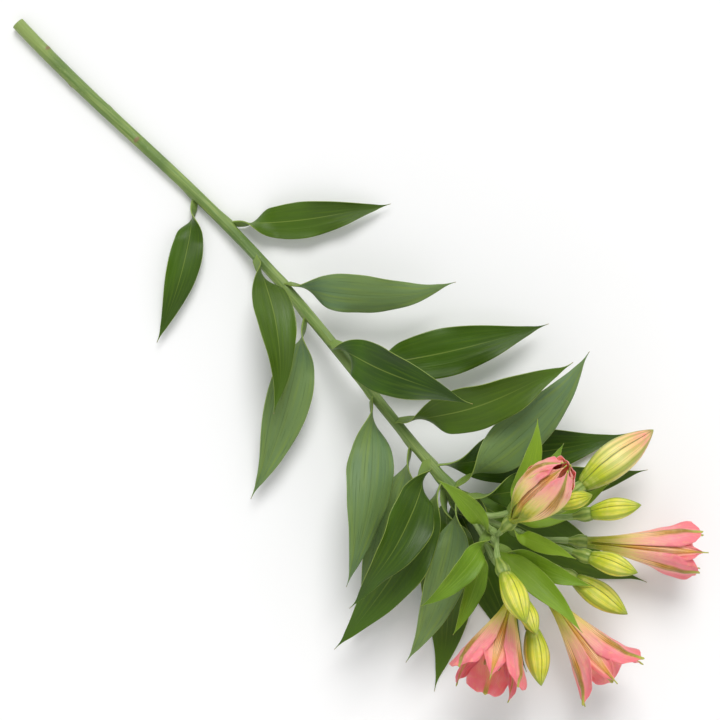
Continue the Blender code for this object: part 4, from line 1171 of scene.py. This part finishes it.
for key, bloom in BLOOMS.items():
    floret = RAYS[key[0]].florets[key[1]]
    shells = [tepal_shell(floret, bloom, whorl, width, index)
              for whorl, width in ((OUTER, bloom.outer_width), (INNER, bloom.inner_width))
              for index in range(3)]
    shells.append(cup_shell(floret))
    piece = skin("bloom_" + key + "_tepals", shells, [outer_back, outer_face, inner_back, inner_face])
    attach(piece, "root")
    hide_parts("bloom_" + key)


# Stamens
# Six thin rose filaments in each open bloom, each with a long brown anther that swings on its tip.
# They stand on the floor of the bloom.

STAMENS_IN = ("a1", "b1", "e1")
FILAMENT_START = SEAT_GAP + RECEPTACLE_HEIGHT + 0.8
FILAMENT_ROOT = 2.5
FILAMENT_FOOT_RADIUS = 0.4
FILAMENT_TIP_RADIUS = 0.24
FILAMENT_OUT = 0.45
FILAMENT_SPREAD = 3.2
FILAMENT_BEND = 1.5
FILAMENT_REACH = 0.62
REACH_DIFFERENCE = 0.06
FILAMENT_STEPS = 24
FILAMENT_SIDES = 10
ANTHER_LENGTH = 3.6
ANTHER_RADIUS = 0.8
ANTHER_FULLNESS = 0.6
ANTHER_GROOVE = 0.15
ANTHER_HELD_AT = 0.4
ANTHER_ROWS = 14
ANTHER_SIDES = 16
FILAMENT_ROSE = (0.780, 0.300, 0.240, 1)
ANTHER_BROWN = (0.300, 0.230, 0.070, 1)


def filament_points(bloom, index):
    """A filament that leans out from the axis as a power of its height, rooted in the floor."""
    t = np.linspace(0, 1, FILAMENT_STEPS)
    turn = np.radians(60 * index)
    reach = bloom.length * (FILAMENT_REACH + REACH_DIFFERENCE * np.sin(2.2 * index))
    out = FILAMENT_OUT + FILAMENT_SPREAD * t ** FILAMENT_BEND
    points = np.stack([out * np.cos(turn), out * np.sin(turn), FILAMENT_START + reach * t], axis=-1)
    points[0, 2] -= FILAMENT_ROOT
    return points


def anther_shell(floret, end):
    """A grain: a power of a sine along it, with a groove as a cosine round it."""
    climb = in_rows(0.02, 0.98, ANTHER_ROWS)
    turn = ring_turns(ANTHER_SIDES)
    girth = ANTHER_RADIUS * np.sin(np.pi * climb) ** ANTHER_FULLNESS * (1 + ANTHER_GROOVE * np.cos(2 * turn))
    rings = end + turned(girth, turn, ANTHER_LENGTH * (climb - ANTHER_HELD_AT))
    return Shell(placed(rings, floret), in_columns(0, 1, ANTHER_SIDES + 1), climb, worn=1)


def stamen_material(name, tone):
    """One tone, dusted with lighter grains."""
    paint = Paint(name, {"Roughness": 0.6})
    grains = paint.cloud(3000, 1.0)
    dusted = tuple(min(1.0, 1.7 * value) for value in tone[:3]) + (1,)
    paint.colour = paint.blend(paint.rise(grains, 0.4, 0.7), tone, dusted)
    return paint.finish(grains, 0.0002)


stamen_finishes = [stamen_material("filament", FILAMENT_ROSE), stamen_material("anther", ANTHER_BROWN)]
for key in STAMENS_IN:
    floret = RAYS[key[0]].florets[key[1]]
    shells = []
    for index in range(6):
        points = filament_points(BLOOMS[key], index)
        radii = np.linspace(FILAMENT_FOOT_RADIUS, FILAMENT_TIP_RADIUS, FILAMENT_STEPS)
        shells.append(Shell(placed(tube(points, radii, FILAMENT_SIDES), floret), 0.0, 0.0))
        shells.append(anther_shell(floret, points[-1]))
    piece = skin("stamens_" + key + "_threads", shells, stamen_finishes)
    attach(piece, "root")
    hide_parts("stamens_" + key)


# Table, light and camera
# A plain white table in a white room, under a large soft lamp and a fainter one across from it,
# seen from straight above, with the flowers towards the lower right.

TABLE_SIZE = 20.0
TABLE_GAP = 0.0002
TABLE_WHITE = (0.90, 0.90, 0.90, 1)
TABLE_WHITEST = (0.93, 0.93, 0.93, 1)
# The room is white at eye level and darker overhead
ROOM_FADE = {"From Min": 0.02, "From Max": 0.45, "To Min": 1.00, "To Max": 0.50}
# Where each lamp shines from, how wide it looks in radians, and its strength
LAMPS = {"window": ((-0.62, 0.70, 1.15), 0.50, 2.00), "bounce": ((0.90, -0.60, 0.90), 1.20, 0.50)}
CAMERA_HEIGHT = 1.25
CAMERA_TURN = np.radians(47)
VIEW_MIDDLE = (0.0192, 0.0097)
VIEW_WIDTH = 0.354
SUBJECT_HEIGHT = 0.03
SENSOR = 36


def table_material():
    """White, with the faintest clouding."""
    paint = Paint("table_white", {"Roughness": 0.7, "Specular IOR Level": 0.2})
    paint.colour = paint.blend(paint.cloud(3.0), TABLE_WHITE, TABLE_WHITEST)
    return paint.finish()


half = TABLE_SIZE / 2
table_mesh = bpy.data.meshes.new("table")
corners = [(x, y, -TABLE_GAP) for x, y in ((-half, -half), (half, -half), (half, half), (-half, half))]
table_mesh.from_pydata(corners, [], [(0, 1, 2, 3)])
table_mesh.materials.append(table_material())
table = bpy.data.objects.new("table", table_mesh)
bpy.context.scene.collection.objects.link(table)

world = bpy.data.worlds.new("white_room")
world.use_nodes = True
room = world.node_tree
looking = room.nodes.new("ShaderNodeTexCoord").outputs["Generated"]
parted = room.nodes.new("ShaderNodeSeparateXYZ")
room.links.new(looking, parted.inputs[0])
overhead = room.nodes.new("ShaderNodeMapRange")
overhead.interpolation_type = "SMOOTHSTEP"
room.links.new(parted.outputs["Z"], overhead.inputs["Value"])
for socket, value in ROOM_FADE.items():
    overhead.inputs[socket].default_value = value
room.links.new(overhead.outputs[0], room.nodes["Background"].inputs["Strength"])
room.nodes["Background"].inputs["Color"].default_value = (1, 1, 1, 1)
bpy.context.scene.world = world

for name, (place, spread, strength) in LAMPS.items():
    lamp_data = bpy.data.lights.new(name, "SUN")
    lamp_data.angle = spread
    lamp_data.energy = strength
    lamp = bpy.data.objects.new(name, lamp_data)
    lamp.location = place
    toward = -np.array(place)
    lamp.rotation_euler = (np.arctan2(np.hypot(toward[0], toward[1]), -toward[2]), 0,
                           np.arctan2(toward[1], toward[0]) - np.pi / 2)
    bpy.context.scene.collection.objects.link(lamp)

camera_data = bpy.data.cameras.new("camera")
camera_data.sensor_width = SENSOR
camera_data.lens = SENSOR * (CAMERA_HEIGHT - SUBJECT_HEIGHT) / VIEW_WIDTH
camera = bpy.data.objects.new("camera", camera_data)
camera.location = (VIEW_MIDDLE[0], VIEW_MIDDLE[1], CAMERA_HEIGHT)
camera.rotation_euler = (0, 0, CAMERA_TURN)
bpy.context.scene.collection.objects.link(camera)
bpy.context.scene.camera = camera
bpy.context.scene.view_settings.view_transform = "Standard"
